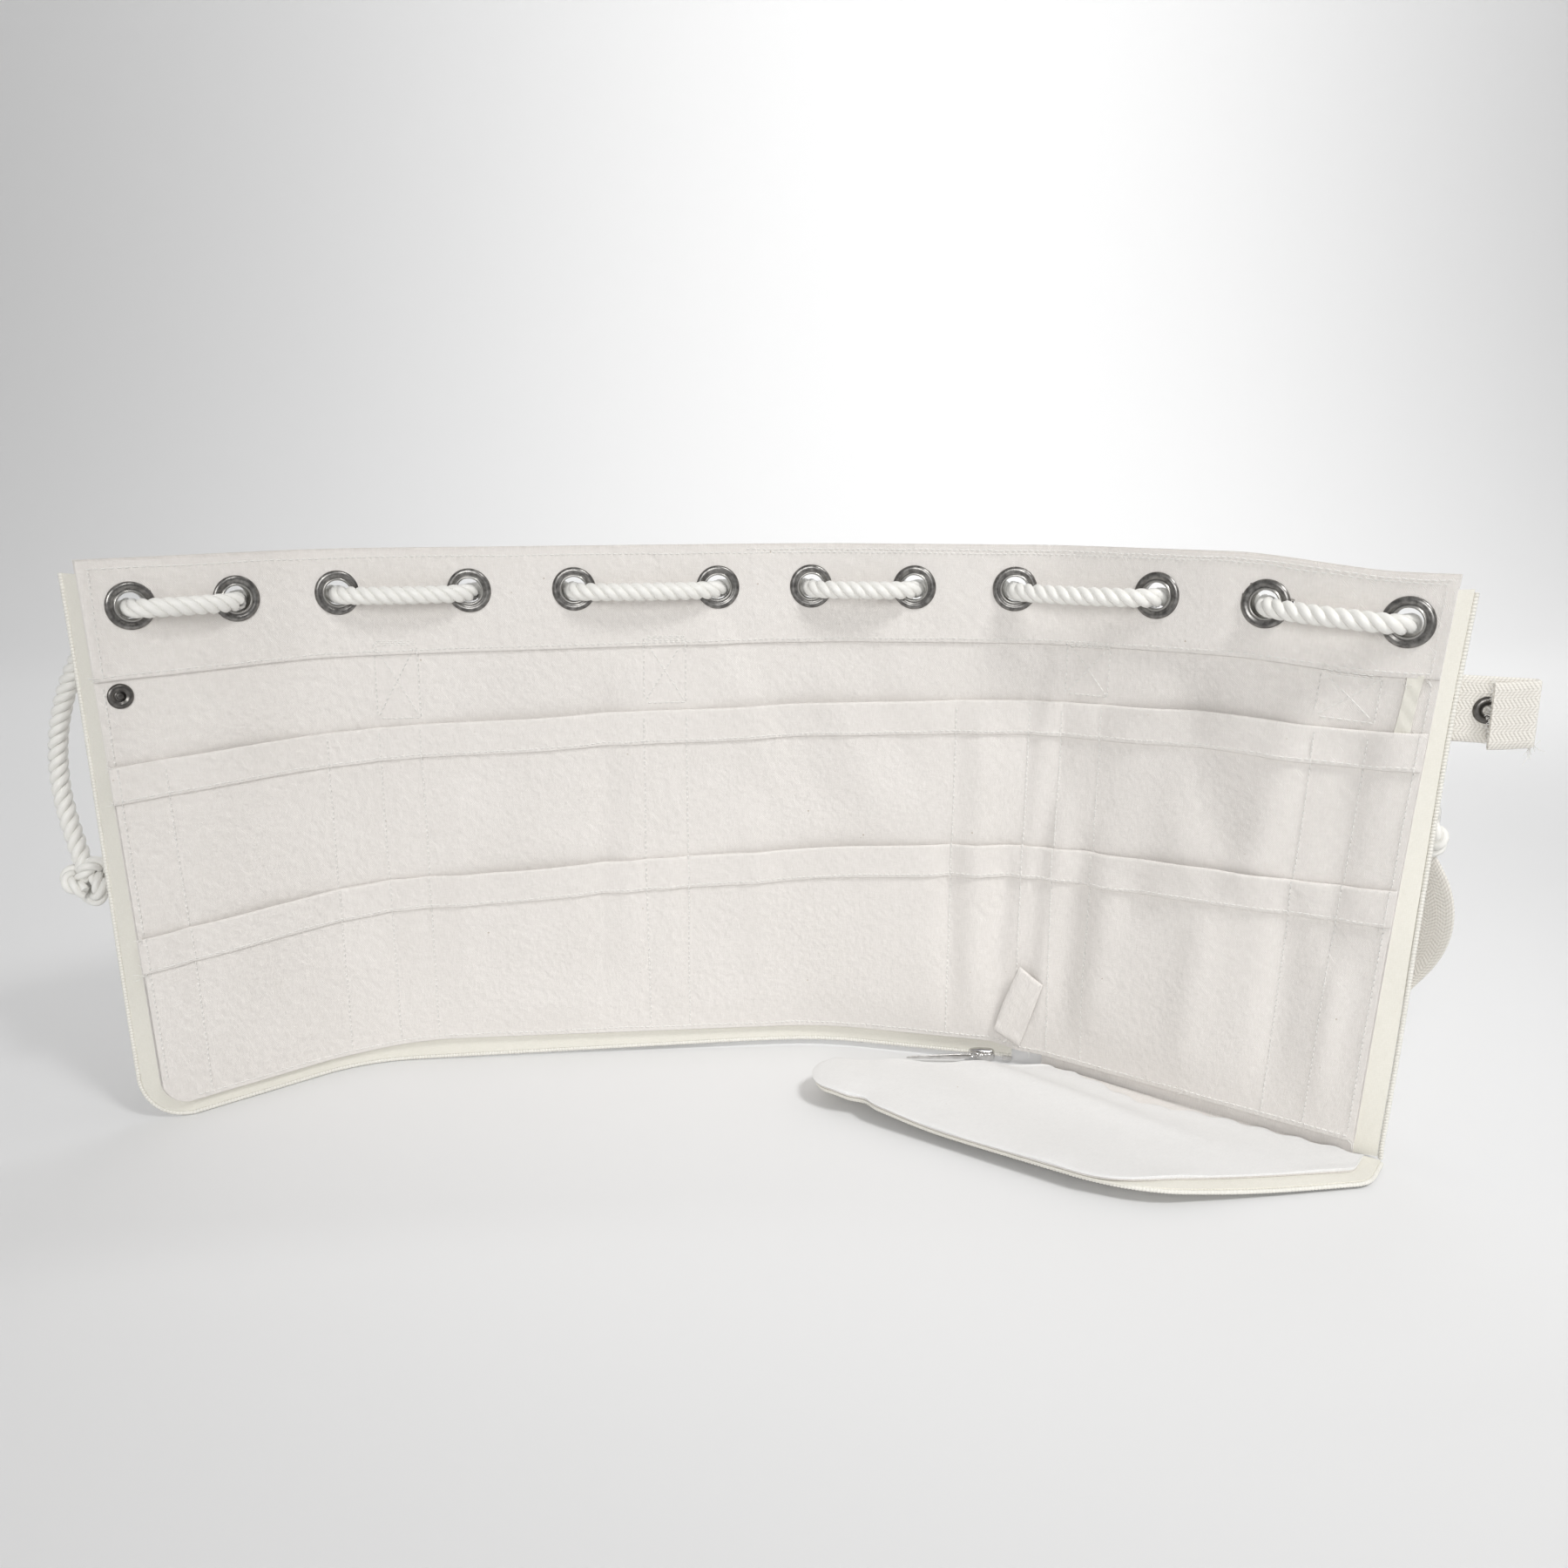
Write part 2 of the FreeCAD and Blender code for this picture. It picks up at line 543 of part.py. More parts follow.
tip, shoulder, nose = "-Sizes.pull_length", "Sizes.pull_nose - Sizes.pull_length", "Sizes.pull_thick / 2"
half_pull, half_tip = "Sizes.pull_tall / 2", "Sizes.pull_tall / 4"
pull_outline = [(tip, "-" + half_tip), (shoulder, "-" + half_pull), (nose, "-" + half_pull),
                (nose, half_pull), (shoulder, half_pull), (tip, half_tip)]
pull = outline_pad("zip_pull", "XZ_Plane", pull_outline, "Sizes.pull_thick")
eye_far = "-Sizes.bail_radius - Sizes.bail_wire"
eye_near, eye_half = "-Sizes.pull_thick * 0.55", "(Sizes.bail_wire / 2 + Sizes.pull_eye_play)"
eye_outline = [(eye_far, "-" + eye_half), (eye_near, "-" + eye_half),
               (eye_near, eye_half), (eye_far, eye_half)]
plain_volume = pull.Shape.Volume
eye = pull.newObject("PartDesign::Pocket", "zip_pull_eye")
eye.Profile = outline_sketch(pull, "XZ_Plane", eye_outline, "zip_pull_eye_outline")
eye.Type = "ThroughAll"
eye.Midplane = True
doc.recompute()
if pull.Shape.Volume > plain_volume - 1:
    raise RuntimeError("the eye of the pull was not cut")
pull.Placement = slider.Placement * moved(y=-size("slider_thick / 2 + pull_reach"), z=PULL_Z)
keep(pull, "zip_pull_tab")

# ---------------------------------------------------------------------------------- snap and tab


def snap_ring(label, flange, place):
    """Round ring with its axis square to the wall, cut from a disc by the snap's hole."""
    disc = bound("Part::Cylinder", label + "_disc", Radius=flange, Height="Sizes.snap_rim")
    hole = bound("Part::Cylinder", label + "_hole", Radius="Sizes.snap_hole / 2", Height="Sizes.snap_rim")
    ring = doc.addObject("Part::Cut", label)
    ring.Base, ring.Tool = disc, hole
    doc.recompute()
    ring.Placement = place
    return keep(ring, label)


SNAP_RIM = size("snap_rim")
stud_at = on_wall(size("stud_place"), 0, SNAP_Z)
snap_ring("snap_stud", "Sizes.snap_flange / 2", stud_at * moved(y=-INNER - SNAP_RIM, turn=BACKWARD))
snap_ring("snap_stud_washer", "Sizes.snap_flange / 2 - 1", stud_at * moved(y=OUTER, turn=BACKWARD))
post = bound("Part::Cylinder", "snap_post", Radius="Sizes.snap_hole / 2",
             Height="Sizes.inner_cloth + Sizes.outer_cloth")
post.Placement = stud_at * moved(y=-INNER, turn=BACKWARD)
keep(post, "snap_stud_post")

right_end = on_wall(LENGTH, 0, SNAP_Z)
sewn = bound("Part::Box", "snap_tab_end", Length="Sizes.tab_sewn", Width="Sizes.webbing_thick",
             Height="Sizes.webbing_width")
sewn.Placement = right_end * moved(-size("tab_sewn"), OUTER, -WEB / 2)
keep(sewn, "snap_tab_sewn_end")

# The free part of the tab turns about its root and is folded back over its own end
half_web = WEBBING / 2
fold_gap = half_web + SNAP_RIM / 2 + size("tab_play")
turn_at = size("tab_length") - half_web - fold_gap
fold_start = size("tab_length - tab_fold")
bend_centre = Vector(turn_at, -fold_gap, -WEB / 2)
tab_shape = Part.makeBox(turn_at, WEBBING, WEB, Vector(0, -half_web, -WEB / 2))
root = Part.makeCylinder(half_web, WEB, Vector(0, 0, -WEB / 2))
bend = Part.makeCylinder(fold_gap + half_web, WEB, bend_centre)
bend = bend.cut(Part.makeCylinder(fold_gap - half_web, WEB, bend_centre))
open_side = 2 * (WEBBING + fold_gap)
bend = bend.cut(Part.makeBox(open_side, open_side, WEB, bend_centre - Vector(open_side, open_side / 2, 0)))
fold_at = Vector(fold_start, -2 * fold_gap - half_web, -WEB / 2)
fold = Part.makeBox(turn_at - fold_start, WEBBING, WEB, fold_at)
snap_cut = Part.makeCylinder(size("snap_hole / 2"), 4 * WEBBING, Vector(size("tab_snap"), -2 * WEBBING, 0),
                             Vector(0, 1, 0))
tab_turn = Rotation(Vector(0, 0, 1), size("tab_angle"))
tab_at = right_end * moved(half_web + size("tab_play"), OUTER + half_web, turn=tab_turn)
feature("snap_tab", tab_shape.fuse([root, bend, fold]).removeSplitter().cut(snap_cut), tab_at)
snap_at = tab_at * moved(size("tab_snap"))
snap_ring("snap_socket", "Sizes.snap_flange / 2", snap_at * moved(y=-half_web - SNAP_RIM, turn=BACKWARD))
cap = bound("Part::Cone", "snap_cap_dome", Radius1="Sizes.snap_flange / 2 + 0.5",
            Radius2="Sizes.snap_flange / 2 - 1", Height="Sizes.snap_rim")
cap.Placement = snap_at * moved(y=half_web, turn=BACKWARD)
keep(cap, "snap_cap")

# ------------------------------------------------------------------------------------- base flap

FOLD, END = CORNERS[3][0], CORNERS[4][0]
BASE_AT = Placement(FOLD, Rotation(Vector(0, 0, 1), math.degrees(heading(FOLD, END))))
SEAM = size("seam_half + seam_gap")
WING = (END - FOLD).Length
# Corners of the flap's edge: along the right part of the panel from the fold, and out from it
BASE_CORNERS = [(12.0, SEAM), (-86.0, 84.0), (-67.0, 108.0), (WING - 65.4, 104.0), (WING + 13.6, 24.0),
                (WING + 13.6, SEAM)]
BASE_RADII = [18.0, 18.0, 64.0, 16.0]


def base_outline(inset):
    """Closed outline of the flap with its free edge moved inwards and its seam left in place."""
    points = [Vector(a, p, 0) for a, p in BASE_CORNERS]
    lines = []
    for one, two in zip(points, points[1:]):
        way = (two - one).normalize()
        lines.append((one + Vector(way.y, -way.x, 0) * inset, way))
    seam_line = (Vector(0, SEAM, 0), Vector(1, 0, 0))
    corners = []
    for (p, u), (q, v) in zip([seam_line] + lines, lines + [seam_line]):
        gap = q - p
        corners.append(p + u * ((gap.x * v.y - gap.y * v.x) / (u.x * v.y - u.y * v.x)))
    path = rounded_run([Vector(c.x, -c.y, 0) for c in corners], [r - inset for r in BASE_RADII])
    closing = Part.LineSegment(path.Vertexes[-1].Point, path.Vertexes[0].Point).toShape()
    return Part.Face(Part.Wire(path.Edges + [closing]))


def base_layer(inset, low, thick):
    """A layer of the flap at a height, with its edge inset from the flap's."""
    solid = base_outline(inset).extrude(Vector(0, 0, thick))
    solid.translate(Vector(0, 0, low))
    return solid


edge, lining_edge = size("coil_width + base_tape"), size("coil_width + base_tape + lining_inset")
tape_low = size("base_tape_lift")
feature("base_outer", base_layer(edge, 0, size("base_cloth")), BASE_AT)
feature("base_lining", base_layer(lining_edge, size("base_cloth"), size("base_lining_cloth")), BASE_AT)
feature("base_zip_tape", base_layer(COIL, tape_low, TAPE).cut(base_layer(edge, tape_low, TAPE)), BASE_AT)
feature("base_zip_coil", base_layer(0, 0, COIL_THICK).cut(base_layer(COIL, 0, COIL_THICK)), BASE_AT)
half_seam = size("seam_half")
seam_start = tape_end + size("seam_clear")
feature("base_seam_binding", wall(seam_start, LENGTH, -half_seam, half_seam, 0, BOTTOM))

# ------------------------------------------------------------------------ finger tab, side strip

finger = bound("Part::Box", "finger_box", Length="Sizes.finger_width", Width="Sizes.finger_thick",
               Height="Sizes.finger_long")
half_long = size("finger_long / 2")
pocket_front = LOWER_FACE + CLOTH
finger_middle = on_wall(LENGTH - size("finger_from_end"), pocket_front + size("finger_gap"),
                        BOTTOM + size("finger_lift") + half_long)
lean = moved(turn=Rotation(Vector(0, 1, 0), size("finger_lean")))
foot_corner = moved(-size("finger_width / 2"), -size("finger_thick"), -half_long)
finger.Placement = finger_middle * lean * foot_corner
keep(finger, "finger_tab")

strip_end = LENGTH - size("strip_margin")
strip_levels = [(lambda place: upper_mouth(place) + size("strip_gap"), level(FACE)),
                (lambda place: band_low(place) - size("strip_gap"), level(FACE))]
strip = layer(strip_end - size("strip_width"), strip_end, size("strip_thick"), strip_levels)
feature("side_tape_strip", strip)

# -------------------------------------------------------------------------------------- drawcord

# The tails' points are lengths past the end of the line, distances inward, and heights above the cord
CORD_Z = EYELET_Z - size("cord_drop")
FRONT, BACK = size("cord_front"), -size("cord_back")
LEFT_TAIL = [(-12, -33, -130), (-16, -42, -103), (-17, -45, -76), (-13, -38, -45), (-2, -24, -16)]
RIGHT_TAIL = [(-9, -9, -16), (-6, -8.3, -36), (-5, -8.3, -56), (3, -10, -74), (10, -12.5, -90)]
route = [spot(along, inward, CORD_Z + height) for along, inward, height in LEFT_TAIL]
for number, place in enumerate(EYELET_PLACES):
    sides = (BACK, FRONT) if number % 2 == 0 else (FRONT, BACK)
    route += [spot(place, side, CORD_Z) for side in sides]
route += [spot(LENGTH + along, inward, CORD_Z + height) for along, inward, height in RIGHT_TAIL]

runs = [(b - a).Length for a, b in zip(route, route[1:])]
radii = []
for i in range(1, len(route) - 1):
    turn = (route[i] - route[i - 1]).getAngle(route[i + 1] - route[i])
    radii.append(0.45 * min(runs[i - 1], runs[i]) / math.tan(turn / 2))
print("cord radii", " ".join("%.1f" % r for r in radii))
cord_path = rounded_run(route, radii)
CORD = size("cord_diameter / 2")
section = Part.Wire(Part.makeCircle(CORD, route[0], route[1] - route[0]))
cord = cord_path.makePipeShell([section], True, False)
expected = math.pi * CORD ** 2 * cord_path.Length
print("cord length %.1f, volume %.0f of %.0f" % (cord_path.Length, cord.Volume, expected))
if abs(cord.Volume / expected - 1) > 0.01:
    raise RuntimeError("the cord's volume is not its section times its length")
knot_ends = (route[0], route[-1])
clearings = [Part.makeSphere(size("knot_radius + knot_gap"), end) for end in knot_ends]
feature("drawcord", cord.cut(clearings))
for side, end in zip(("left", "right"), knot_ends):
    knot = bound("Part::Sphere", "knot_" + side, Radius="Sizes.knot_radius")
    knot.Placement = Placement(end, Rotation())
    keep(knot, "cord_knot_" + side)

doc.recompute()
os.makedirs("parts", exist_ok=True)
for obj in doc.Objects:
    if "Invalid" in obj.State or "Error" in obj.State:
        raise RuntimeError("%s failed" % obj.Label)
for obj in parts:
    if obj.Shape.isNull() or not obj.Shape.isValid() or not obj.Shape.Solids:
        raise RuntimeError("%s has no valid shape" % obj.Label)
for obj in parts:
    obj.Shape.exportStep("parts/%s.step" % obj.Label)
    print("%-22s %2d solids %10.1f mm3" % (obj.Label, len(obj.Shape.Solids), obj.Shape.Volume))
print("panel length %.1f" % LENGTH)
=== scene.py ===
import bmesh
import bpy
import numpy as np
from mathutils import Matrix


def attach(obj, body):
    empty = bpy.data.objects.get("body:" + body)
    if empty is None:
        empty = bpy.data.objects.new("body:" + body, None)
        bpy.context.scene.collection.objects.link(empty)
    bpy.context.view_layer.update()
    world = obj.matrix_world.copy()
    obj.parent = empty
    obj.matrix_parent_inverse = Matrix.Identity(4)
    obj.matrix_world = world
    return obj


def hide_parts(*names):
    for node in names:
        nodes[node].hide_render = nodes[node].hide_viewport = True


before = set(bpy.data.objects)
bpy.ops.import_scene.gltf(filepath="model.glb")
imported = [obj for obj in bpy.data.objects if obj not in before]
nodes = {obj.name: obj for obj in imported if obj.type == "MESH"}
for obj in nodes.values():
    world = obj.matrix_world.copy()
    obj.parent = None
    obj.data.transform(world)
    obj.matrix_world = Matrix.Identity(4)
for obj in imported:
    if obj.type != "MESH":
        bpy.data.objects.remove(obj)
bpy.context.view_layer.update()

mm = 0.001

# ------------------------------------------------------------------------------------ the studio
# A pale sweep that runs from the floor up behind the roll. A spot from the right makes a pool of
# light round it, and a large soft light stands in front. The camera is a little above the top edge.

camera_data = bpy.data.cameras.new("studio_camera")
camera_data.lens, camera_data.sensor_width = 30.12, 36.0
camera = bpy.data.objects.new("studio_camera", camera_data)
bpy.context.collection.objects.link(camera)
look_down, roll = np.radians(90 - 13.78), np.radians(-0.35)
camera.matrix_world = (Matrix.Translation((0.0012, -0.5987, 0.3092))
                       @ Matrix.Rotation(look_down, 4, "X") @ Matrix.Rotation(roll, 4, "Z"))
bpy.context.scene.camera = camera
bpy.context.scene.view_settings.view_transform = "Standard"


def add(tree, kind, sockets=(), **settings):
    """A shader node with its settings, and its sockets set to a value or joined to an output."""
    made = tree.nodes.new(kind)
    for setting, value in settings.items():
        setattr(made, setting, value)
    for socket, value in dict(sockets).items():
        if isinstance(value, bpy.types.NodeSocket):
            tree.links.new(value, made.inputs[socket])
        else:
            made.inputs[socket].default_value = value
    return made


def finish_material(name):
    """A new material, its node tree and its surface shader."""
    material = bpy.data.materials.new(name)
    material.use_nodes = True
    return material, material.node_tree, material.node_tree.nodes["Principled BSDF"]


def new_piece(name, points, faces, material, uv=None):
    """A mesh object from an array of points and lists of faces, with an optional point for each
    vertex on the flat cloth, in metres. A closed mesh whose volume comes out negative is turned
    right side out."""
    mesh = bpy.data.meshes.new(name)
    mesh.from_pydata(np.asarray(points).reshape(-1, 3).tolist(), [], faces)
    if uv is not None:
        vertex = np.empty(len(mesh.loops), np.int32)
        mesh.loops.foreach_get("vertex_index", vertex)
        mesh.uv_layers.new(name="flat").data.foreach_set("uv", np.asarray(uv)[vertex].ravel())
    check = bmesh.new()
    check.from_mesh(mesh)
    if check.calc_volume(signed=True) < 0:
        bmesh.ops.reverse_faces(check, faces=check.faces)
        check.to_mesh(mesh)
    check.free()
    mesh.shade_smooth()
    mesh.set_sharp_from_angle(angle=np.radians(52))
    mesh.materials.append(material)
    piece = bpy.data.objects.new(name, mesh)
    bpy.context.collection.objects.link(piece)
    return piece


paper, tree, shader = finish_material("studio_paper")
shader.inputs["Base Color"].default_value = (0.80, 0.80, 0.80, 1)
shader.inputs["Roughness"].default_value = 0.9
bend_angle = np.linspace(0, np.pi / 2, 24)
sweep_y = np.r_[-4.0, 1.6, 1.6 + 1.4 * np.sin(bend_angle[1:]), 3.0]
sweep_z = np.r_[0.0, 0.0, 1.4 * (1 - np.cos(bend_angle[1:])), 6.0]
sweep = np.array([[(x, y, z) for y, z in zip(sweep_y, sweep_z)] for x in (-6.0, 6.0)])
count = len(sweep_y)
strips = [[i, i + count, i + count + 1, i + 1] for i in range(count - 1)]
new_piece("studio_sweep", sweep, strips, paper)


def turned_to(way):
    """The rotation that points a lamp's own downward axis along a direction."""
    return np.arctan2(np.hypot(way[0], way[1]), -way[2]), 0, np.arctan2(way[1], way[0]) - np.pi / 2


for name, place, aim, wide, watts in (("front", (-0.4, -2.3, 1.1), (0, 0, 0.12), 1.2, 25),
                                      ("over", (0.9, 0.2, 2.4), (0.5, 0.2, 0), 1.8, 3),
                                      ("behind", (0.5, 1.1, 1.8), (0.1, 3.0, 0.3), 1.6, 34)):
    light_data = bpy.data.lights.new(name + "_light", "AREA")
    light_data.shape, light_data.size, light_data.energy = "DISK", wide, watts
    light = bpy.data.objects.new(name + "_light", light_data)
    light.location, light.rotation_euler = place, turned_to(np.subtract(aim, place))
    bpy.context.collection.objects.link(light)
key_data = bpy.data.lights.new("key_light", "SPOT")
key_data.energy, key_data.shadow_soft_size = 135, 0.3
key_data.spot_size, key_data.spot_blend = np.radians(30), 1.0
key = bpy.data.objects.new("key_light", key_data)
key.location = (1.2, -1.2, 2.1)
key.rotation_euler = turned_to((-1.04, 1.25, -2.1))
bpy.context.collection.objects.link(key)
world = bpy.data.worlds.new("studio_air")
world.use_nodes = True
air = world.node_tree.nodes["Background"].inputs
air["Color"].default_value, air["Strength"].default_value = (1, 1, 1, 1), 0.38
bpy.context.scene.world = world

# -------------------------------------------------------------------------- the line of the panel
# Seen from above, the standing panel follows a line of four straight runs and three bends. Every
# sewn piece is placed by its length along that line, its distance in front of it and its height.

corners = np.array([[-299.3, -19.7, 0], [-220.8, 46.3, 80], [21.2, 65.3, 140], [131.2, 37.3, 60],
                    [259.7, -58.7, 0]]) * mm
step = np.diff(corners[:, :2], axis=0)
headings = np.arctan2(step[:, 1], step[:, 0])
turns = headings[:-1] - headings[1:]
cuts = corners[1:-1, 2] * np.tan(turns / 2)
runs = np.hypot(*step.T) - np.r_[0, cuts] - np.r_[cuts, 0]
arcs = corners[1:-1, 2] * turns
bend_marks = np.cumsum(np.r_[0, np.c_[runs[:-1], arcs].ravel(), runs[-1]])
LENGTH = bend_marks[-1]
fine = np.arange(-0.1, LENGTH + 0.1, 0.25 * mm)
fine_heading = np.interp(fine, bend_marks, np.repeat(headings, 2))
fine_way = np.c_[np.cos(fine_heading), np.sin(fine_heading)]
fine_line = np.cumsum((fine_way + np.roll(fine_way, 1, axis=0)) / 2 * 0.25 * mm, axis=0)
fine_line += corners[0, :2] - [np.interp(0, fine, fine_line[:, k]) for k in (0, 1)]


def smooth(share):
    """Smooth step: 3 x squared less 2 x cubed of the share, kept from 0 to 1."""
    share = np.clip(share, 0, 1)
    return share * share * (3 - 2 * share)


def on_line(along, inward, height):
    """Points by length along the panel's line, distance in front of it (towards the pockets) and
    height: the line's point plus the distance times the direction square to its heading."""
    along, inward, height = np.broadcast_arrays(along, inward, height)
    heading = np.interp(along, fine, fine_heading)
    x = np.interp(along, fine, fine_line[:, 0]) + np.sin(heading) * inward
    y = np.interp(along, fine, fine_line[:, 1]) - np.cos(heading) * inward
    return np.stack([x, y, height], axis=-1)


def on_wall(along, inward, height):
    """Points on the cloth, whose free upper corners have spread: the shift along the wall is 13.5 mm
    at the top of the right end and 8 mm the other way at the left, in proportion to the height. All
    but the left end also leans 3.5 mm to the right, and the right corner sinks 6 mm, both with the
    height squared."""
    share = np.clip((height / mm - 8) / 262, 0, 1)
    right = smooth((along / mm - LENGTH / mm + 80) / 60)
    left = smooth(1 - along / (60 * mm))
    lean = 3.5 * share ** 2 * smooth((along / mm - 50) / 60)
    moved = along + (13.5 * share * right - 8 * share * left + lean) * mm
    return on_line(moved, inward, height - 6 * mm * share ** 2 * right)


def wall_axes(along):
    """Along, inward and up directions of the wall at lengths along its line."""
    heading = np.interp(along, fine, fine_heading)
    zero = np.zeros_like(heading)
    ahead = np.stack([np.cos(heading), np.sin(heading), zero], -1)
    inward = np.stack([np.sin(heading), -np.cos(heading), zero], -1)
    return ahead, inward, np.broadcast_to([0.0, 0.0, 1.0], ahead.shape)


# --------------------------------------------------------------------------------- the drawcord
# A 9 mm white rope of three satin strands, laid right-handed. It is laced through all twelve
# eyelets, and both of its ends are stopped with an overhand knot behind the panel.

CORD_Z = 248 * mm
EYELETS = np.r_[18, 58, 103, 166, 217, 288, 335, 387, 436,
                np.array([-110.8, -63.8, -15.8]) + LENGTH / mm] * mm
left_tail = np.array([(-12, -33, -130), (-16, -42, -103), (-17, -45, -76), (-13, -38, -45),
                      (-2, -24, -16)]) * mm
right_tail = np.array([(-6, -12, -16), (-7, -13, -36), (-6, -13, -56), (-1, -14, -76),
                       (10, -16, -95)]) * mm + [LENGTH, 0, 0]
sides = np.tile([-9.5, 10.5, 10.5, -9.5], 6) * mm
route = np.r_[on_line(left_tail[:, 0], left_tail[:, 1], CORD_Z + left_tail[:, 2]),
              on_wall(np.repeat(EYELETS, 2), sides, CORD_Z),
              on_line(right_tail[:, 0], right_tail[:, 1], CORD_Z + right_tail[:, 2])]


def noise(tree, place, scale, detail=2.0):
    """A cloudy pattern from 0 to 1."""
    sockets = {"Vector": place, "Scale": scale, "Detail": detail}
    return add(tree, "ShaderNodeTexNoise", sockets).outputs["Fac"]


def mixed(tree, share, first, second):
    """The first colour, giving way to the second as the share goes from 0 to 1."""
    sockets = {"Factor": share, "A": first, "B": second}
    return add(tree, "ShaderNodeMix", sockets, data_type="RGBA").outputs["Result"]


rope_fibre, tree, shader = finish_material("rope_fibre")
flat = add(tree, "ShaderNodeUVMap", uv_map="flat").outputs[0]
drawn = add(tree, "ShaderNodeMapping", {"Vector": flat, "Scale": (60, 2600, 1),
                                        "Rotation": (0, 0, 0.02)}).outputs[0]
fibres = noise(tree, drawn, 1.0, 3.0)
patches = noise(tree, flat, 90.0)
tint = mixed(tree, fibres, (0.76, 0.75, 0.70, 1), (0.92, 0.91, 0.88, 1))
tree.links.new(tint, shader.inputs["Base Color"])
shine = add(tree, "ShaderNodeMapRange", {"Value": patches, "To Min": 0.28, "To Max": 0.5}).outputs[0]
tree.links.new(shine, shader.inputs["Roughness"])
bump = add(tree, "ShaderNodeBump", {"Height": fibres, "Strength": 0.55, "Distance": 0.0003})
tree.links.new(bump.outputs[0], shader.inputs["Normal"])
shader.inputs["Sheen Weight"].default_value = 0.3
shader.inputs["Subsurface Weight"].default_value = 0.08
shader.inputs["Subsurface Radius"].default_value = (0.002, 0.002, 0.002)


def unit(vectors):
    """Vectors of the same directions, each one long."""
    return vectors / np.linalg.norm(vectors, axis=-1, keepdims=True)


def rods(name, paths, radius, material, sides, up=(0, 0, 1)):
    """Round rods along many paths at once. At each point a ring stands square to the path, of a
    radius that may differ from point to point: cosine and sine of the ring's angle times the two
    directions across. The ends are closed flat."""
    paths = np.asarray(paths, float)
    many, long = paths.shape[:2]
    ahead = unit(np.gradient(paths, axis=1))
    side = unit(np.cross(ahead, np.broadcast_to(up, ahead.shape)))
    over = np.cross(ahead, side)
    angle = np.arange(sides)[:, None] * 2 * np.pi / sides
    ring = np.cos(angle) * side[:, :, None] + np.sin(angle) * over[:, :, None]
    points = paths[:, :, None] + ring * np.broadcast_to(radius, (many, long))[..., None, None]
    number = np.arange(many * long * sides).reshape(many, long, sides)
    turned = np.roll(number, -1, axis=2)
    skin = np.stack([number[:, :-1], turned[:, :-1], turned[:, 1:], number[:, 1:]], -1).reshape(-1, 4)
    caps = np.r_[number[:, 0, ::-1], number[:, -1]]
    gaps = np.linalg.norm(np.diff(paths, axis=1), axis=2)
    run = np.cumsum(np.c_[np.zeros(many), gaps], axis=1)
    uv = np.stack(np.broadcast_arrays(run[:, :, None], np.arange(sides) * 0.002), -1).reshape(-1, 2)
    return new_piece(name, points, skin.tolist() + caps.tolist(), material, uv)


def run_of(path):
    """Length along a path at each of its points."""
    return np.r_[0, np.cumsum(np.linalg.norm(np.diff(path, axis=0), axis=1))]


def rope(name, line, thick, lay, reference):
    """Three strands round a line. Each strand's centre turns once per lay about the line, in axes
    that don't twist: those square to a fixed reference, less their own running twist."""
    run = run_of(line)
    even = np.linspace(0, run[-1], int(run[-1] / (1.1 * mm)))
    line = np.stack([np.interp(even, run, line[:, k]) for k in range(3)], -1)
    ahead = unit(np.gradient(line, axis=0))
    side = unit(np.cross(ahead, np.broadcast_to(reference, ahead.shape)))
    carried = unit(side[:-1] - np.sum(side[:-1] * ahead[1:], axis=1, keepdims=True) * ahead[1:])
    turn = np.sum(np.cross(carried, side[1:]) * ahead[1:], axis=1)
    twist = np.r_[0, np.cumsum(np.arctan2(turn, np.sum(carried * side[1:], axis=1)))]
    over = np.cross(ahead, side)
    strand = thick * 0.238
    phase = 2 * np.pi * (even / lay + np.arange(3)[:, None] / 3) - twist
    offset = np.cos(phase)[..., None] * side + np.sin(phase)[..., None] * over
    centres = line + offset * (thick / 2 - strand)
    return rods(name, centres, strand, rope_fibre, 10, reference)


cord_curve = bpy.data.curves.new("drawcord_line", "CURVE")
cord_curve.dimensions = "3D"
spline = cord_curve.splines.new("NURBS")
spline.points.add(len(route) - 1)
spline.points.foreach_set("co", np.c_[route, np.ones(len(route))].ravel())
spline.order_u, spline.use_endpoint_u, spline.resolution_u = 3, True, 24
bare = bpy.data.objects.new("drawcord_line", cord_curve)
bpy.context.collection.objects.link(bare)
line_mesh = bpy.data.meshes.new_from_object(bare.evaluated_get(bpy.context.evaluated_depsgraph_get()))
cord_line = np.empty(len(line_mesh.vertices) * 3)
line_mesh.vertices.foreach_get("co", cord_line)
cord_line = cord_line.reshape(-1, 3)
bpy.data.objects.remove(bare)
LAY = 16.5 * mm
drawcord = rope("laced_drawcord", cord_line, 9 * mm, LAY, (-0.18, 0.77, -0.61))


def overhand(centre, arriving, facing, size):
    """Overhand knot: most of a trefoil, x = sin t + 2 sin 2t, y = cos t - 2 cos 2t and
    z = -1.15 sin 3t, with its two ends drawn out straight, the first towards the arriving rope."""
    t = np.linspace(0.42, 2 * np.pi - 0.42, 90)
    loop = np.c_[np.sin(t) + 2 * np.sin(2 * t), np.cos(t) - 2 * np.cos(2 * t), -1.15 * np.sin(3 * t)]
    loop = loop * size / 3
    first = loop[0] + unit(loop[0] - loop[3]) * size * 0.5
    last = loop[-1] + unit(loop[-1] - loop[-4]) * size * 0.9
    loop = np.r_[first[None], loop, last[None]]
    across = unit(np.cross(facing, arriving))
    axes = np.array([across, unit(arriving), unit(np.cross(across, arriving))])
    return centre + loop @ axes


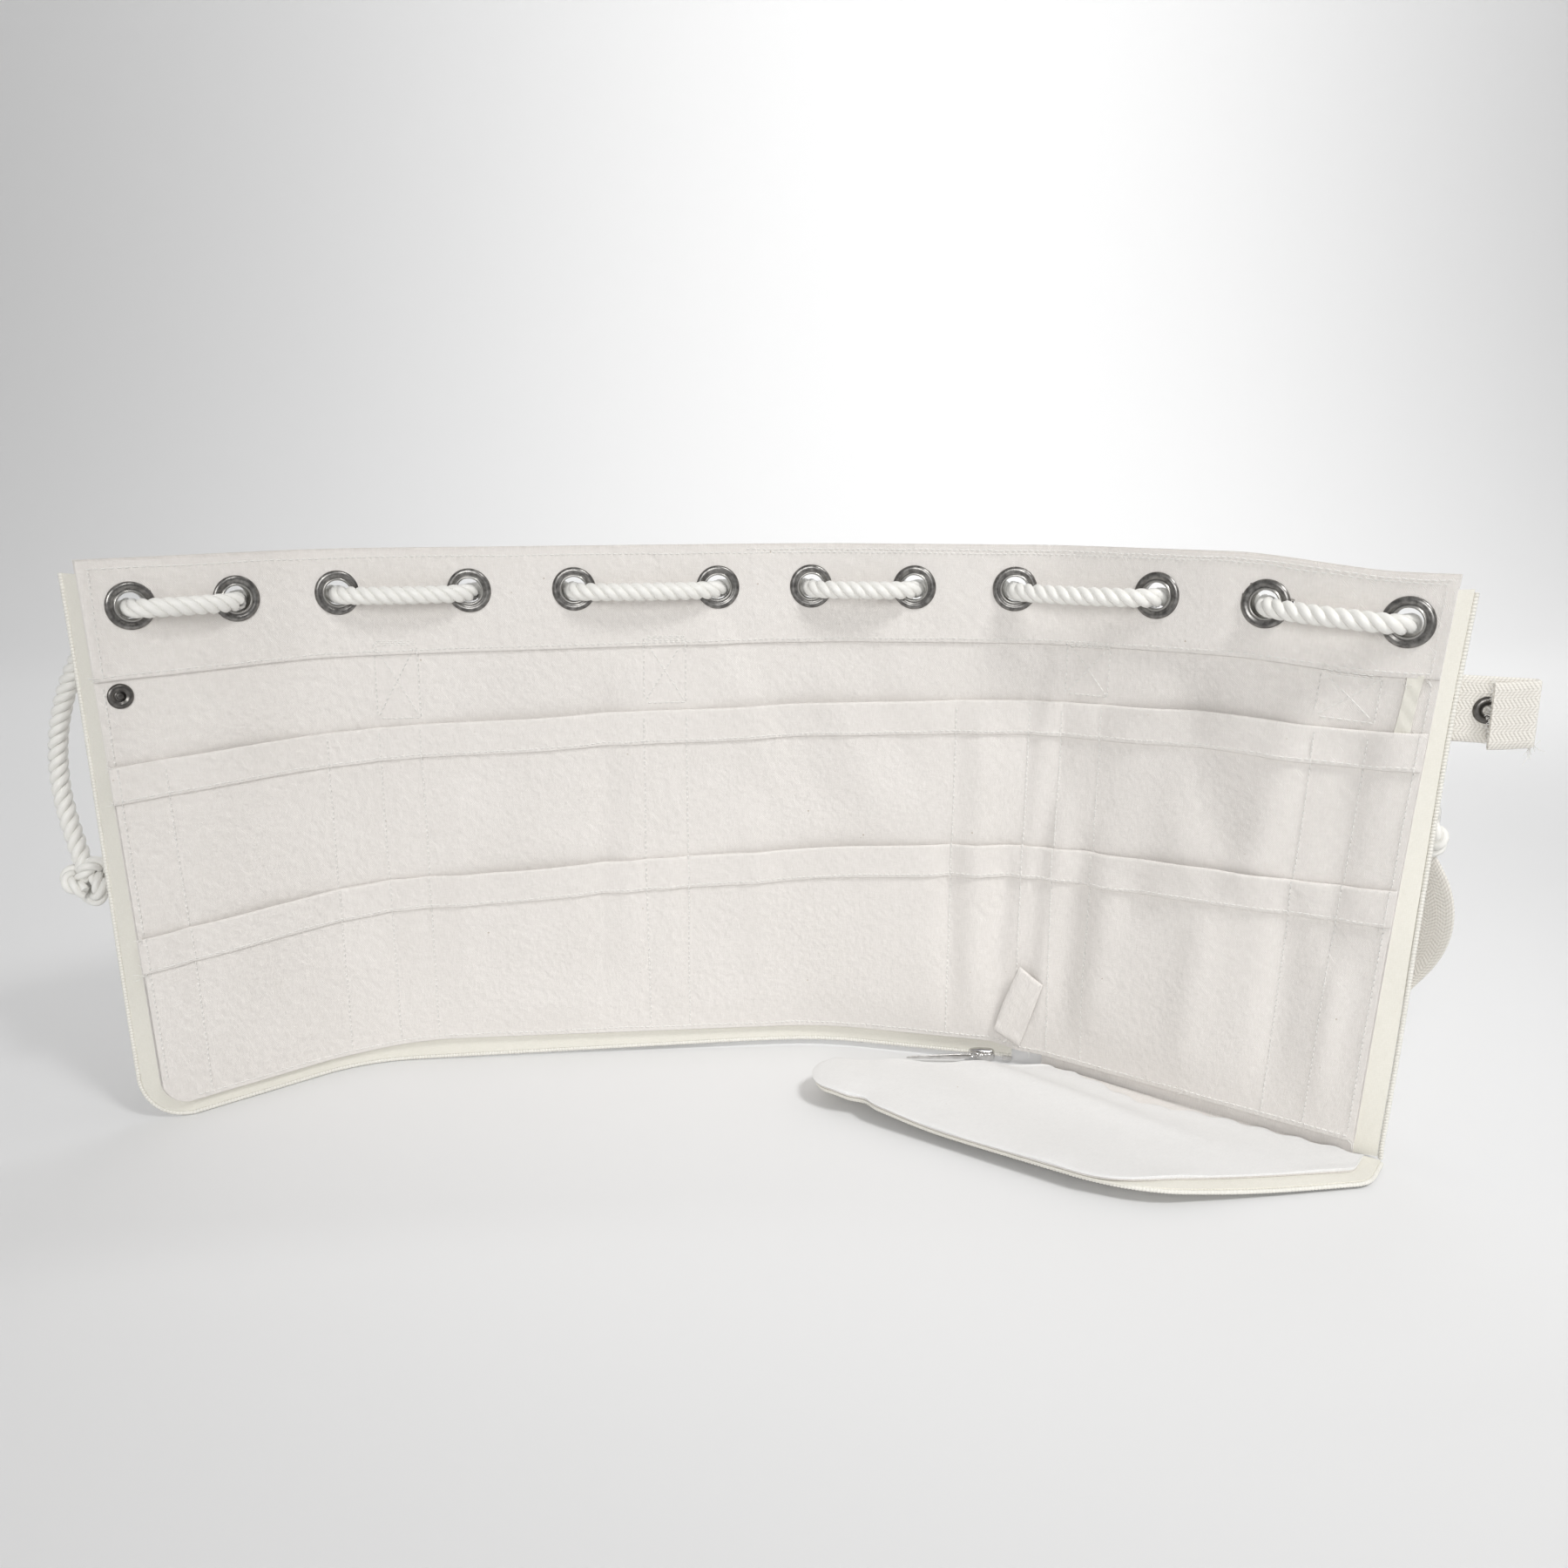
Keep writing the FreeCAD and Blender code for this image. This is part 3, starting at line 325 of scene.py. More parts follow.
for side, end, before in (("left", cord_line[0], cord_line[8]), ("right", cord_line[-1], cord_line[-9])):
    turns_of_rope = overhand(end, before - end, (0.25, -1, 0.1), 9.5 * mm)
    knot = rope(side + "_end_knot", turns_of_rope, 7.6 * mm, LAY,
                np.cross(unit(before - end), (1, 0.25, 0)))
    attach(knot, "roll")
    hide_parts("cord_knot_" + side)
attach(drawcord, "roll")
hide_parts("drawcord")

# ------------------------------------------------------------------------------ the two main cloths
# The standing panel is cotton canvas with a lining of the same cloth, sewn together round the
# edges. Both wave together: the folds below are soft dents and ridges of the whole wall.

TOP, BOTTOM, CORNER = 270 * mm, 8 * mm, 14 * mm
OUTER, INNER = 1.2 * mm, 0.9 * mm
CELL = 2.6 * mm

# Folds of the wall: place along the line, lean, half width, depth, and the heights between which
# each shows. They are deepest on the right wing, past the last bend
FOLDS = np.array([
    (40, 0.05, 17, 0.8, 30, 200), (66, -0.04, 20, -0.9, 20, 240), (119, 0.0, 5, -0.9, 20, 190),
    (157, 0.03, 7, 1.4, 10, 150), (176, 0.05, 10, -0.8, 20, 210), (229, 0.02, 7, -1.9, 15, 200),
    (246, 0.06, 8, 1.3, 60, 215), (262, 0.0, 6, 1.0, 10, 110), (307, -0.03, 7, 1.6, 10, 140),
    (322, -0.38, 9, 0.8, 130, 240), (345, -0.5, 10, -0.9, 130, 252), (372, -0.45, 10, 1.0, 135, 250),
    (396, -0.4, 9, -0.9, 150, 240), (408, -0.05, 6, -2.1, 10, 120), (424, 0.0, 6, 1.5, 10, 180),
    (440, 0.02, 5, -1.9, 5, 120), (452, 0.1, 6, 1.96, 60, 230), (466, 0.05, 6, 2.38, 10, 150),
    (480, 0.05, 6, -2.52, 10, 130), (500, 0.12, 9, 1.68, 20, 110), (512, 0.1, 13, -2.38, 90, 200),
    (545, -0.25, 13, -3.64, 135, 220), (560, 0.15, 9, 2.66, 120, 220), (546, 0.1, 9, 2.24, 10, 105),
    (578, 0.0, 8, -2.8, 10, 120), (590, 0.0, 8, -1.82, 100, 200), (598, 0.0, 6, 1.96, 10, 90)])


def drape(along, height):
    """How far the wall stands forward of its line: the sum over the folds of depth times a bell
    across the fold times a smooth fade along it, plus two slow waves. It dies out at the edges."""
    s, z = np.broadcast_arrays(np.asarray(along) / mm, np.asarray(height) / mm)
    total = 0.5 * np.sin(s / 13 + 1.4 * np.sin(z / 47)) + 0.7 * np.sin(s / 37 - z / 90 + 1)
    for centre, lean, half, depth, low, high in FOLDS:
        bell = np.exp(-((s - centre - lean * (z - 135)) / half) ** 2)
        total += depth * bell * smooth((z - low + 10) / 25) * smooth((high + 10 - z) / 25)
    sides = smooth(s / 14) * smooth((LENGTH / mm - s) / 14)
    upright = smooth((z - 9) / 45) * (1 - 0.6 * smooth((z - 222) / 20))
    return total * sides * upright * mm


def wall(along, inward, height):
    """Points on the waving wall: on_wall with the drape added to the distance in front."""
    return on_wall(along, inward + drape(along, height), height)


def lines(first, last, pitch, marks=()):
    """Grid lines from first to last, about a pitch apart, with a line at each mark."""
    even = np.linspace(first, last, int(np.ceil((last - first) / pitch)) + 1)
    marks = np.array([mark for mark in marks if first < mark < last])
    if len(marks):
        far = np.abs(even[:, None] - marks).min(axis=1) > 0.4 * pitch
        far[[0, -1]] = True
        even = np.union1d(even[far], marks)
    return even


def shell(name, front, back, uv, material, kept=None):
    """A closed cloth from two grids of points, its front and its back, with a rim round every edge
    of the cells that are kept. The front faces the way of (first step) x (second step)."""
    n, m = front.shape[:2]
    cells = np.ones((n - 1, m - 1), bool) if kept is None else kept
    far = np.arange(n * m).reshape(n, m)
    near = far + n * m
    c = np.pad(cells, 1)
    f = [far[:-1, :-1], far[1:, :-1], far[1:, 1:], far[:-1, 1:]]
    b = [near[:-1, :-1], near[1:, :-1], near[1:, 1:], near[:-1, 1:]]
    inside = c[1:-1, 1:-1]
    sides = [(f[0], f[1], f[2], f[3], inside), (b[3], b[2], b[1], b[0], inside),
             (b[0], b[1], f[1], f[0], inside & ~c[1:-1, :-2]),
             (f[3], f[2], b[2], b[3], inside & ~c[1:-1, 2:]),
             (f[0], f[3], b[3], b[0], inside & ~c[:-2, 1:-1]),
             (b[1], b[2], f[2], f[1], inside & ~c[2:, 1:-1])]
    faces = np.concatenate([np.stack(side[:4], -1)[side[4]] for side in sides])
    used, faces = np.unique(faces, return_inverse=True)
    points = np.concatenate([front.reshape(-1, 3), back.reshape(-1, 3)])[used]
    flat = np.concatenate([uv.reshape(-1, 2)] * 2)[used]
    return new_piece(name, points, faces.reshape(-1, 4).tolist(), material, flat)


def shader_group(name, inputs, outputs):
    """A node group with named inputs and outputs, and its two end nodes."""
    group = bpy.data.node_groups.new(name, "ShaderNodeTree")
    for label, kind in inputs:
        group.interface.new_socket(label, in_out="INPUT", socket_type="NodeSocket" + kind)
    for label, kind in outputs:
        group.interface.new_socket(label, in_out="OUTPUT", socket_type="NodeSocket" + kind)
    return group, group.nodes.new("NodeGroupInput").outputs, group.nodes.new("NodeGroupOutput").inputs


def reckon(tree, kind, *values):
    """The result of a Math node."""
    return add(tree, "ShaderNodeMath", dict(enumerate(values)), operation=kind).outputs[0]


def total(tree, first, share, second, other):
    """The first value times its share, plus the second times the other share."""
    return reckon(tree, "ADD", reckon(tree, "MULTIPLY", first, share),
                  reckon(tree, "MULTIPLY", second, other))


def ridges(tree, value):
    """Rounded ridges: the size of the value's sine."""
    return reckon(tree, "ABSOLUTE", reckon(tree, "SINE", value))


# Woven cotton: twill ribs crossed by slubby yarns, faint clouds of tone and a few seed flecks
weave, given, out = shader_group(
    "cotton_weave", [("Flat", "Vector"), ("Yarns", "Float"), ("Light", "Color"), ("Dark", "Color"),
                     ("Fleck", "Color")], [("Color", "Color"), ("Height", "Float")])
scaled = add(weave, "ShaderNodeVectorMath", {0: given["Flat"]}, operation="SCALE")
weave.links.new(given["Yarns"], scaled.inputs["Scale"])
place = add(weave, "ShaderNodeSeparateXYZ", {0: scaled.outputs[0]}).outputs
across, upward = place[0], place[1]
slant = reckon(weave, "MULTIPLY", reckon(weave, "MULTIPLY_ADD", upward, 0.8, across), 3.14)
rib = ridges(weave, reckon(weave, "MULTIPLY_ADD", noise(weave, given["Flat"], 240.0), 14.0, slant))
warp_way = add(weave, "ShaderNodeMapping", {"Vector": scaled.outputs[0], "Scale": (1.6, 0.16, 1)})
weft_way = add(weave, "ShaderNodeMapping", {"Vector": scaled.outputs[0], "Scale": (0.18, 1.6, 1)})
warp, weft = [noise(weave, way.outputs[0], 1.0, 3.0) for way in (warp_way, weft_way)]
yarns = total(weave, warp, 0.55, weft, 0.45)
tone = total(weave, yarns, 0.9, noise(weave, given["Flat"], 22.0, 4.0), 0.2)
tone = reckon(weave, "ADD", tone, reckon(weave, "MULTIPLY", rib, 0.15))
tone = add(weave, "ShaderNodeMapRange", {"Value": tone, "From Min": 0.38, "From Max": 0.88}).outputs[0]
cloth_tone = mixed(weave, tone, given["Dark"], given["Light"])
seeds = add(weave, "ShaderNodeTexVoronoi", {"Vector": given["Flat"], "Scale": 150.0}).outputs["Distance"]
seed = reckon(weave, "MULTIPLY", reckon(weave, "LESS_THAN", seeds, 0.06),
              reckon(weave, "GREATER_THAN", noise(weave, given["Flat"], 160.0), 0.62))
flecked = mixed(weave, reckon(weave, "MULTIPLY", seed, 0.7), cloth_tone, given["Fleck"])
weave.links.new(flecked, out["Color"])
weave.links.new(total(weave, rib, 0.5, yarns, 0.9), out["Height"])


def cotton(name, light, dark, yarns=1450.0, depth=0.00024):
    """Cotton cloth in the tones given, with its yarns per metre and the depth of its weave."""
    material, tree, shader = finish_material(name)
    flat = add(tree, "ShaderNodeUVMap", uv_map="flat").outputs[0]
    cloth = add(tree, "ShaderNodeGroup", node_tree=weave)
    tree.links.new(flat, cloth.inputs["Flat"])
    cloth.inputs["Yarns"].default_value = yarns
    cloth.inputs["Light"].default_value, cloth.inputs["Dark"].default_value = (*light, 1), (*dark, 1)
    cloth.inputs["Fleck"].default_value = (0.42, 0.33, 0.24, 1)
    tree.links.new(cloth.outputs["Color"], shader.inputs["Base Color"])
    woven = add(tree, "ShaderNodeBump", {"Height": cloth.outputs["Height"], "Strength": 1.0,
                                         "Distance": depth})
    creased = add(tree, "ShaderNodeBump", {"Height": noise(tree, flat, 130.0, 3.0), "Strength": 0.5,
                                           "Distance": 0.0006, "Normal": woven.outputs[0]})
    tree.links.new(creased.outputs[0], shader.inputs["Normal"])
    shader.inputs["Roughness"].default_value = 0.88
    shader.inputs["Specular IOR Level"].default_value = 0.2
    shader.inputs["Sheen Weight"].default_value = 0.3
    shader.inputs["Sheen Roughness"].default_value = 0.5
    return material


UNDYED = (0.905, 0.87, 0.835), (0.73, 0.695, 0.655)
canvas = cotton("natural_canvas", *UNDYED)
lining_cotton = cotton("lining_cotton", *UNDYED)


def band_low(along):
    """Lower edge of the eyelet band: a straight slope from left to right."""
    return 216 * mm + 9 * mm * along / LENGTH


def foot_of(along):
    """Height of the panel's lower edge, lifted a little between the corner and the flap's seam."""
    return BOTTOM + 4 * mm * smooth((along - 90 * mm) / (60 * mm)) * smooth((452 * mm - along) / (20 * mm))


def corner_rise(along):
    """Height of the rounded lower left corner: its centre's, less the root of the radius squared
    less the reach squared."""
    reach = np.clip(CORNER - along, 0, CORNER)
    return BOTTOM + CORNER - np.sqrt(CORNER ** 2 - reach ** 2)


def panel_grid():
    """Flat grid of the panel. Its lower left corner is rounded by raising the foot of each column
    to the quarter circle, and easing the column's other points after it."""
    s, z = np.meshgrid(lines(0, LENGTH, CELL, (0.6 * mm, 2 * mm, 5 * mm, 9 * mm, CORNER)),
                       lines(BOTTOM, TOP, CELL), indexing="ij")
    foot = np.maximum(corner_rise(s), foot_of(s))
    return s, foot + (z - BOTTOM) * (TOP - foot) / (TOP - BOTTOM)


def clear_of_eyelets(s, z):
    """Cells of a grid whose middle is further from every eyelet than its punched hole."""
    middle_s, middle_z = (s[:-1, :-1] + s[1:, 1:]) / 2, (z[:-1, :-1] + z[1:, 1:]) / 2
    away = np.hypot(middle_s[..., None] - EYELETS, middle_z[..., None] - EYELET_Z)
    return away.min(axis=-1) > 8.6 * mm


EYELET_Z = TOP - 21 * mm
s, z = panel_grid()
flat_uv = np.stack([s, z], -1)
open_cells = clear_of_eyelets(s, z)
top_lip = 0.5 * mm * smooth((z - 262 * mm) / (8 * mm))
canvas_panel = shell("canvas_panel", wall(s, -0.02 * mm - top_lip, z), wall(s, -OUTER - top_lip, z),
                     flat_uv, canvas, open_cells)
lining_panel = shell("lining_panel", wall(s, INNER, z - 0.3 * mm), wall(s, 0.03 * mm, z - 0.3 * mm),
                     flat_uv, lining_cotton, open_cells)
for piece, node, slot in ((canvas_panel, "outer_canvas", "canvas"),
                          (lining_panel, "inner_canvas", "lining")):
    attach(piece, "roll")
    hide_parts(node)

# ------------------------------------------------------------------------------- the eyelet band
# A strip of doubled canvas along the top edge takes the eyelets. Its lower edge is folded under and
# topstitched, and its upper edge is turned over the top of the panel.

BAND_FACE, BAND_CLOTH = INNER + 0.1 * mm, 1.2 * mm


def edge_round(distance, radius):
    """Share of a cloth's thickness near a folded edge: a quarter circle over the radius."""
    return np.sqrt(1 - (1 - np.clip(distance / radius, 0, 1)) ** 2)


s, share = np.meshgrid(lines(0, LENGTH, CELL, (0.4 * mm, 1 * mm)),
                       np.r_[0, 0.006, 0.014, 0.03, np.linspace(0.06, 0.95, 18), 0.985, 1], indexing="ij")
low, high = band_low(s), TOP - 0.7 * mm - 0.5 * mm * np.sin(s / (31 * mm)) ** 2
z = low + (high - low) * share
puff = 0.5 * mm * np.sin(np.pi * share) * (0.5 + 0.5 * np.sin(s / (9 * mm) + 2 * np.sin(s / (30 * mm))))
thick = BAND_CLOTH * (0.25 + 0.75 * edge_round(z - low, 0.9 * mm) * edge_round(s, 0.8 * mm))
near_ring = np.abs(s[..., None] - EYELETS).min(-1) < 13 * mm
puff = np.where(near_ring, 0.3, 1) * puff
band = shell("eyelet_band_cloth", wall(s, BAND_FACE + thick + puff, z), wall(s, BAND_FACE, z),
             np.stack([s, z], -1), canvas, clear_of_eyelets(s, z))
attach(band, "roll")
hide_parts("eyelet_band")

# ---------------------------------------------------------------------------- the rows of pockets
# Two strips of canvas are sewn across the lining with upright seams, so that wide pockets and
# narrow tool slots alternate. A folded hem binds the mouth of each row.

SEAMS = np.array([0, 22, 93, 119, 139, 251, 272, 411, 447, 465, 484, 575, 594, LENGTH / mm]) * mm
CLOTH, HEM_WIDTH, HEM_CLOTH = 0.9 * mm, 17 * mm, 1.2 * mm


def slope(left, right):
    """A height in millimetres that changes evenly along the whole line."""
    return lambda along: (left + (right - left) * along / LENGTH) * mm


# Of each row: the heights of its mouth and its foot, how far it stands off, and how far it gapes
ROWS = {"upper": (slope(177, 201), slope(73, 108), 1.25 * mm, 3.4 * mm),
        "lower": (slope(95, 130), lambda along: foot_of(along) + 1 * mm, 2.45 * mm, 4.2 * mm)}


def row_back(row, along, height):
    """Back face of a row of pockets: flat at its foot and at each seam, standing open between two
    seams as a half sine, the more the wider the pocket and the nearer its mouth."""
    mouth, foot, rest, gape = ROWS[row]
    share = np.clip((height - foot(along)) / (mouth(along) - foot(along)), 0, 1)
    number = np.clip(np.searchsorted(SEAMS, along, side="right"), 1, len(SEAMS) - 1)
    first, last = SEAMS[number - 1], SEAMS[number]
    arch = np.sin(np.pi * np.clip((along - first) / (last - first), 0, 1)) ** 0.75
    width = np.clip((last - first) / (100 * mm), 0, 1)
    return rest + gape * width * arch * smooth(share / 0.2) * (0.3 + 0.7 * share ** 2)


def hem_ends(row, along):
    """Heights of a hem's lower and upper edge: the mouth's, with a slow product of two sines."""
    mouth = ROWS[row][0](along)
    sag = 0.5 * mm * np.sin(along / (21 * mm)) * np.sin(along / (57 * mm))
    return mouth - HEM_WIDTH + sag, mouth + 0.4 * mm + sag


def front_of(along, height):
    """Distance in front of the line of the foremost cloth at a place: band, hem, pocket or lining."""
    face = np.full(np.broadcast(along, height).shape, INNER)
    for row in ROWS:
        mouth, foot = ROWS[row][0](along), ROWS[row][1](along)
        on_row = (height > foot) & (height < mouth)
        face = np.where(on_row, np.maximum(face, row_back(row, along, height) + CLOTH), face)
        low, high = hem_ends(row, along)
        on_hem = (height > low) & (height < high)
        face = np.where(on_hem, np.maximum(face, row_back(row, along, height) + CLOTH + HEM_CLOTH), face)
    return np.where(height > band_low(along), np.maximum(face, BAND_FACE + BAND_CLOTH), face)


pocket_cotton = cotton("pocket_canvas", *UNDYED)
for row in ROWS:
    mouth, foot = ROWS[row][:2]
    s, share = np.meshgrid(lines(0.5 * mm, LENGTH - 0.5 * mm, CELL, SEAMS), np.linspace(0, 1, 40),
                           indexing="ij")
    low = foot(s)
    if row == "lower":
        low = np.maximum(low, corner_rise(s) + 0.6 * mm)
    z = low + (mouth(s) - low) * share
    inner = row_back(row, s, z)
    cloth = shell(row + "_pocket_row", wall(s, inner + CLOTH, z), wall(s, inner, z),
                  np.stack([s, z], -1), pocket_cotton)
    s, share = np.meshgrid(lines(-0.4 * mm, LENGTH - 0.2 * mm, CELL, np.r_[SEAMS, 0.2 * mm]),
                           np.r_[0, 0.015, 0.04, 0.08, np.linspace(0.16, 0.9, 8), 0.95, 0.98, 1],
                           indexing="ij")
    low, high = hem_ends(row, s)
    z = low + (high - low) * share
    behind = row_back(row, s, np.minimum(z, mouth(s))) + CLOTH + 0.03 * mm
    roundness = edge_round(z - low, 0.8 * mm) * edge_round(high - z, 1.1 * mm)
    waviness = 0.22 * mm * np.sin(s / (4.7 * mm) + 2 * np.sin(s / (17 * mm))) * np.sin(np.pi * share)
    ahead = behind + HEM_CLOTH * (0.2 + 0.8 * roundness) + waviness
    hem = shell(row + "_hem_band", wall(s, ahead, z), wall(s, behind, z), np.stack([s, z + 0.3], -1),
                pocket_cotton)
    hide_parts(*[row + "_pocket_%d" % number for number in (1, 2, 3, 4)], row + "_slot_pockets")
    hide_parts(row + "_pocket_hem")
    for piece in (cloth, hem):
        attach(piece, "roll")

# ---------------------------------------------------------------------------------- the eyelets
# Twelve brass eyelets with a dark gunmetal finish are pressed through band and panel: a domed
# flange and tube from the front, rolled over a plain washer at the back.


def metal(name, dark, light, roughness):
    """Plated metal: two tones mottled by a coarse noise, and a painted highlight that makes a turned piece
    all light on a ring from 5.7 to 7.3 mm out."""
    material, tree, shader = finish_material(name)
    place = add(tree, "ShaderNodeTexCoord").outputs["Object"]
    mottle, scuffs = noise(tree, place, 420.0, 4.0), noise(tree, place, 2600.0)
    profile = add(tree, "ShaderNodeUVMap", uv_map="flat").outputs[0]
    radius = add(tree, "ShaderNodeSeparateXYZ", {0: profile}).outputs[0]
    # Painted highlight: on turned pieces the ring from 5.7 to 7.3 mm out is made light
    painted_highlight_ring = reckon(tree, "COMPARE", radius, 0.0065, 0.0008)
    share = add(tree, "ShaderNodeMapRange", {"Value": mottle, "From Min": 0.35, "From Max": 0.7,
                                             "To Max": 0.6}).outputs[0]
    share = reckon(tree, "MAXIMUM", share, reckon(tree, "MULTIPLY", painted_highlight_ring, 0.9))
    tree.links.new(mixed(tree, share, (*dark, 1), (*light, 1)), shader.inputs["Base Color"])
    rough = add(tree, "ShaderNodeMapRange", {"Value": scuffs, "To Min": roughness,
                                             "To Max": roughness + 0.22}).outputs[0]
    tree.links.new(rough, shader.inputs["Roughness"])
    bump = add(tree, "ShaderNodeBump", {"Height": scuffs, "Strength": 0.25, "Distance": 0.00005})
    tree.links.new(bump.outputs[0], shader.inputs["Normal"])
    shader.inputs["Metallic"].default_value = 1.0
    return material


gunmetal = metal("gunmetal_plate", (0.13, 0.125, 0.12), (0.42, 0.41, 0.39), 0.2)


def turned(name, profile, centres, axes, material, sides=56):
    """A closed profile of radii and depths turned about the axis at each centre. Axes are the
    directions ahead, outward (the way the depths count) and up at each centre."""
    profile = np.asarray(profile, float) * mm
    ahead, outward, up = [np.reshape(axis, (-1, 1, 1, 3)) for axis in axes]
    angle = np.arange(sides) * 2 * np.pi / sides
    radius, depth = profile[:, 0][None, :, None, None], profile[:, 1][None, :, None, None]
    circle = np.cos(angle)[None, None, :, None] * ahead + np.sin(angle)[None, None, :, None] * up
    points = np.reshape(centres, (-1, 1, 1, 3)) + radius * circle + depth * outward
    number = np.arange(points.size // 3).reshape(points.shape[:3])
    on, round_on = np.roll(number, -1, axis=1), np.roll(number, -1, axis=2)
    faces = np.stack([number, round_on, np.roll(on, -1, axis=2), on], -1).reshape(-1, 4)
    uv = np.stack(np.broadcast_arrays(radius + 0 * points[..., :1], depth), -1).reshape(-1, 2)
    return new_piece(name, points, faces.tolist(), material, uv)


flange_profile = [(10.75, 0.0), (10.6, 0.55), (10.0, 1.05), (9.1, 1.3), (8.3, 1.15), (7.75, 0.7),
                  (7.35, 0.75), (7.15, 1.2), (6.8, 1.5), (6.35, 1.5), (6.05, 1.2), (6.0, 0.6),
                  (6.0, -3.6), (6.3, -4.3), (7.0, -4.6), (7.6, -4.3), (7.4, -3.8), (7.0, -3.4),
                  (7.0, -0.1)]
ahead, inward, up = wall_axes(EYELETS)
front_centres = wall(EYELETS, BAND_FACE + BAND_CLOTH, EYELET_Z)
eyelets = turned("eyelet_flanges", flange_profile, front_centres, (ahead, inward, up), gunmetal)
washer_profile = [(10.75, 0.0), (10.7, 0.4), (10.2, 0.85), (9.4, 1.0), (7.7, 0.9), (7.15, 0.5), (7.15, 0.0)]
back_centres = wall(EYELETS, -OUTER - 0.05 * mm, EYELET_Z)
washers = turned("eyelet_back_washers", washer_profile, back_centres, (ahead, -inward, up), gunmetal)
for piece, node in ((eyelets, "eyelet_barrels"), (washers, "eyelet_washers")):
    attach(piece, "roll")
    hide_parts(node)

# ---------------------------------------------------------------------- the straps and the handles
# Two lengths of 28 mm herringbone cotton webbing run up the back. Each is box stitched near its top,
# then leaves the panel as a loop that bulges off the back and serves as a carrying handle.

WEB, WEBBING = 28 * mm, 2 * mm
STRAP_TOP, STRAP_LOW = 220 * mm, 12 * mm
LAST_STRAP = LENGTH - 17 * mm - 1.3 * mm - WEB / 2
STRAPS = np.array([129 * mm, 261.5 * mm, LAST_STRAP - 110 * mm, LAST_STRAP])

webbing, tree, shader = finish_material("herringbone_webbing")
flat = add(tree, "ShaderNodeUVMap", uv_map="flat").outputs[0]
parts = add(tree, "ShaderNodeSeparateXYZ", {0: flat}).outputs
# The rib's height turns back at every 3.5 mm across the webbing, which makes the herringbone
zigzag = reckon(tree, "PINGPONG", parts[0], 0.0035)
ribs = ridges(tree, total(tree, zigzag, 1300.0, parts[1], 1950.0))
picks = ridges(tree, reckon(tree, "MULTIPLY", parts[0], 2900.0))
fuzz = noise(tree, flat, 1800.0, 3.0)
relief = total(tree, ribs, 0.8, picks, 0.4)
tone = total(tree, relief, 0.55, fuzz, 0.5)
tint = mixed(tree, tone, (0.58, 0.545, 0.485, 1), (0.87, 0.84, 0.78, 1))
tree.links.new(tint, shader.inputs["Base Color"])
height = reckon(tree, "ADD", relief, reckon(tree, "MULTIPLY", fuzz, 0.4))
bump = add(tree, "ShaderNodeBump", {"Height": height, "Strength": 0.9, "Distance": 0.0003}).outputs[0]
tree.links.new(bump, shader.inputs["Normal"])
shader.inputs["Roughness"].default_value = 0.85
shader.inputs["Specular IOR Level"].default_value = 0.2
shader.inputs["Sheen Weight"].default_value = 0.3

for number, middle in enumerate(STRAPS, start=1):
    s, z = np.meshgrid(middle + np.r_[-14, -13.3, np.linspace(-12, 12, 9), 13.3, 14] * mm,
                       lines(STRAP_LOW, STRAP_TOP, 3 * mm, (STRAP_LOW + 0.6 * mm,)), indexing="ij")
    edge = edge_round(WEB / 2 - np.abs(s - middle), 1.2 * mm)
    away = -OUTER - 0.06 * mm - WEBBING * (0.35 + 0.6 * edge)
    strap = shell("back_strap_%d" % number, wall(s, -OUTER - 0.06 * mm, z), wall(s, away, z),
                  np.stack([s - middle, z], -1), webbing)
    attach(strap, "roll")
    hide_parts("sewn_strap_%d" % number)


def rounded(points, radii, pitch):
    """Points about a pitch apart along straight runs joined by arcs of the radii given, one for
    each inner point: an arc starts and ends radius x tan(half the turn) from its corner."""
    points = np.asarray(points, float)
    path = [points[:1]]
    for before, corner, after, radius in zip(points, points[1:], points[2:], radii):
        back, on = unit(before - corner), unit(after - corner)
        half = (np.pi - np.arccos(np.clip(back @ on, -1, 1))) / 2
        centre = corner + unit(back + on) * radius / np.cos(half)
        sweep = np.linspace(-half, half, max(3, int(2 * half * radius / pitch)))[:, None]
        path.append(centre - radius * (np.cos(sweep) * unit(back + on) - np.sin(sweep) * unit(on - back)))
    path = np.concatenate(path + [points[-1:]])
    run = run_of(path)
    even = np.linspace(0, run[-1], int(run[-1] / pitch) + 1)
    return np.stack([np.interp(even, run, path[:, k]) for k in range(points.shape[1])], -1)


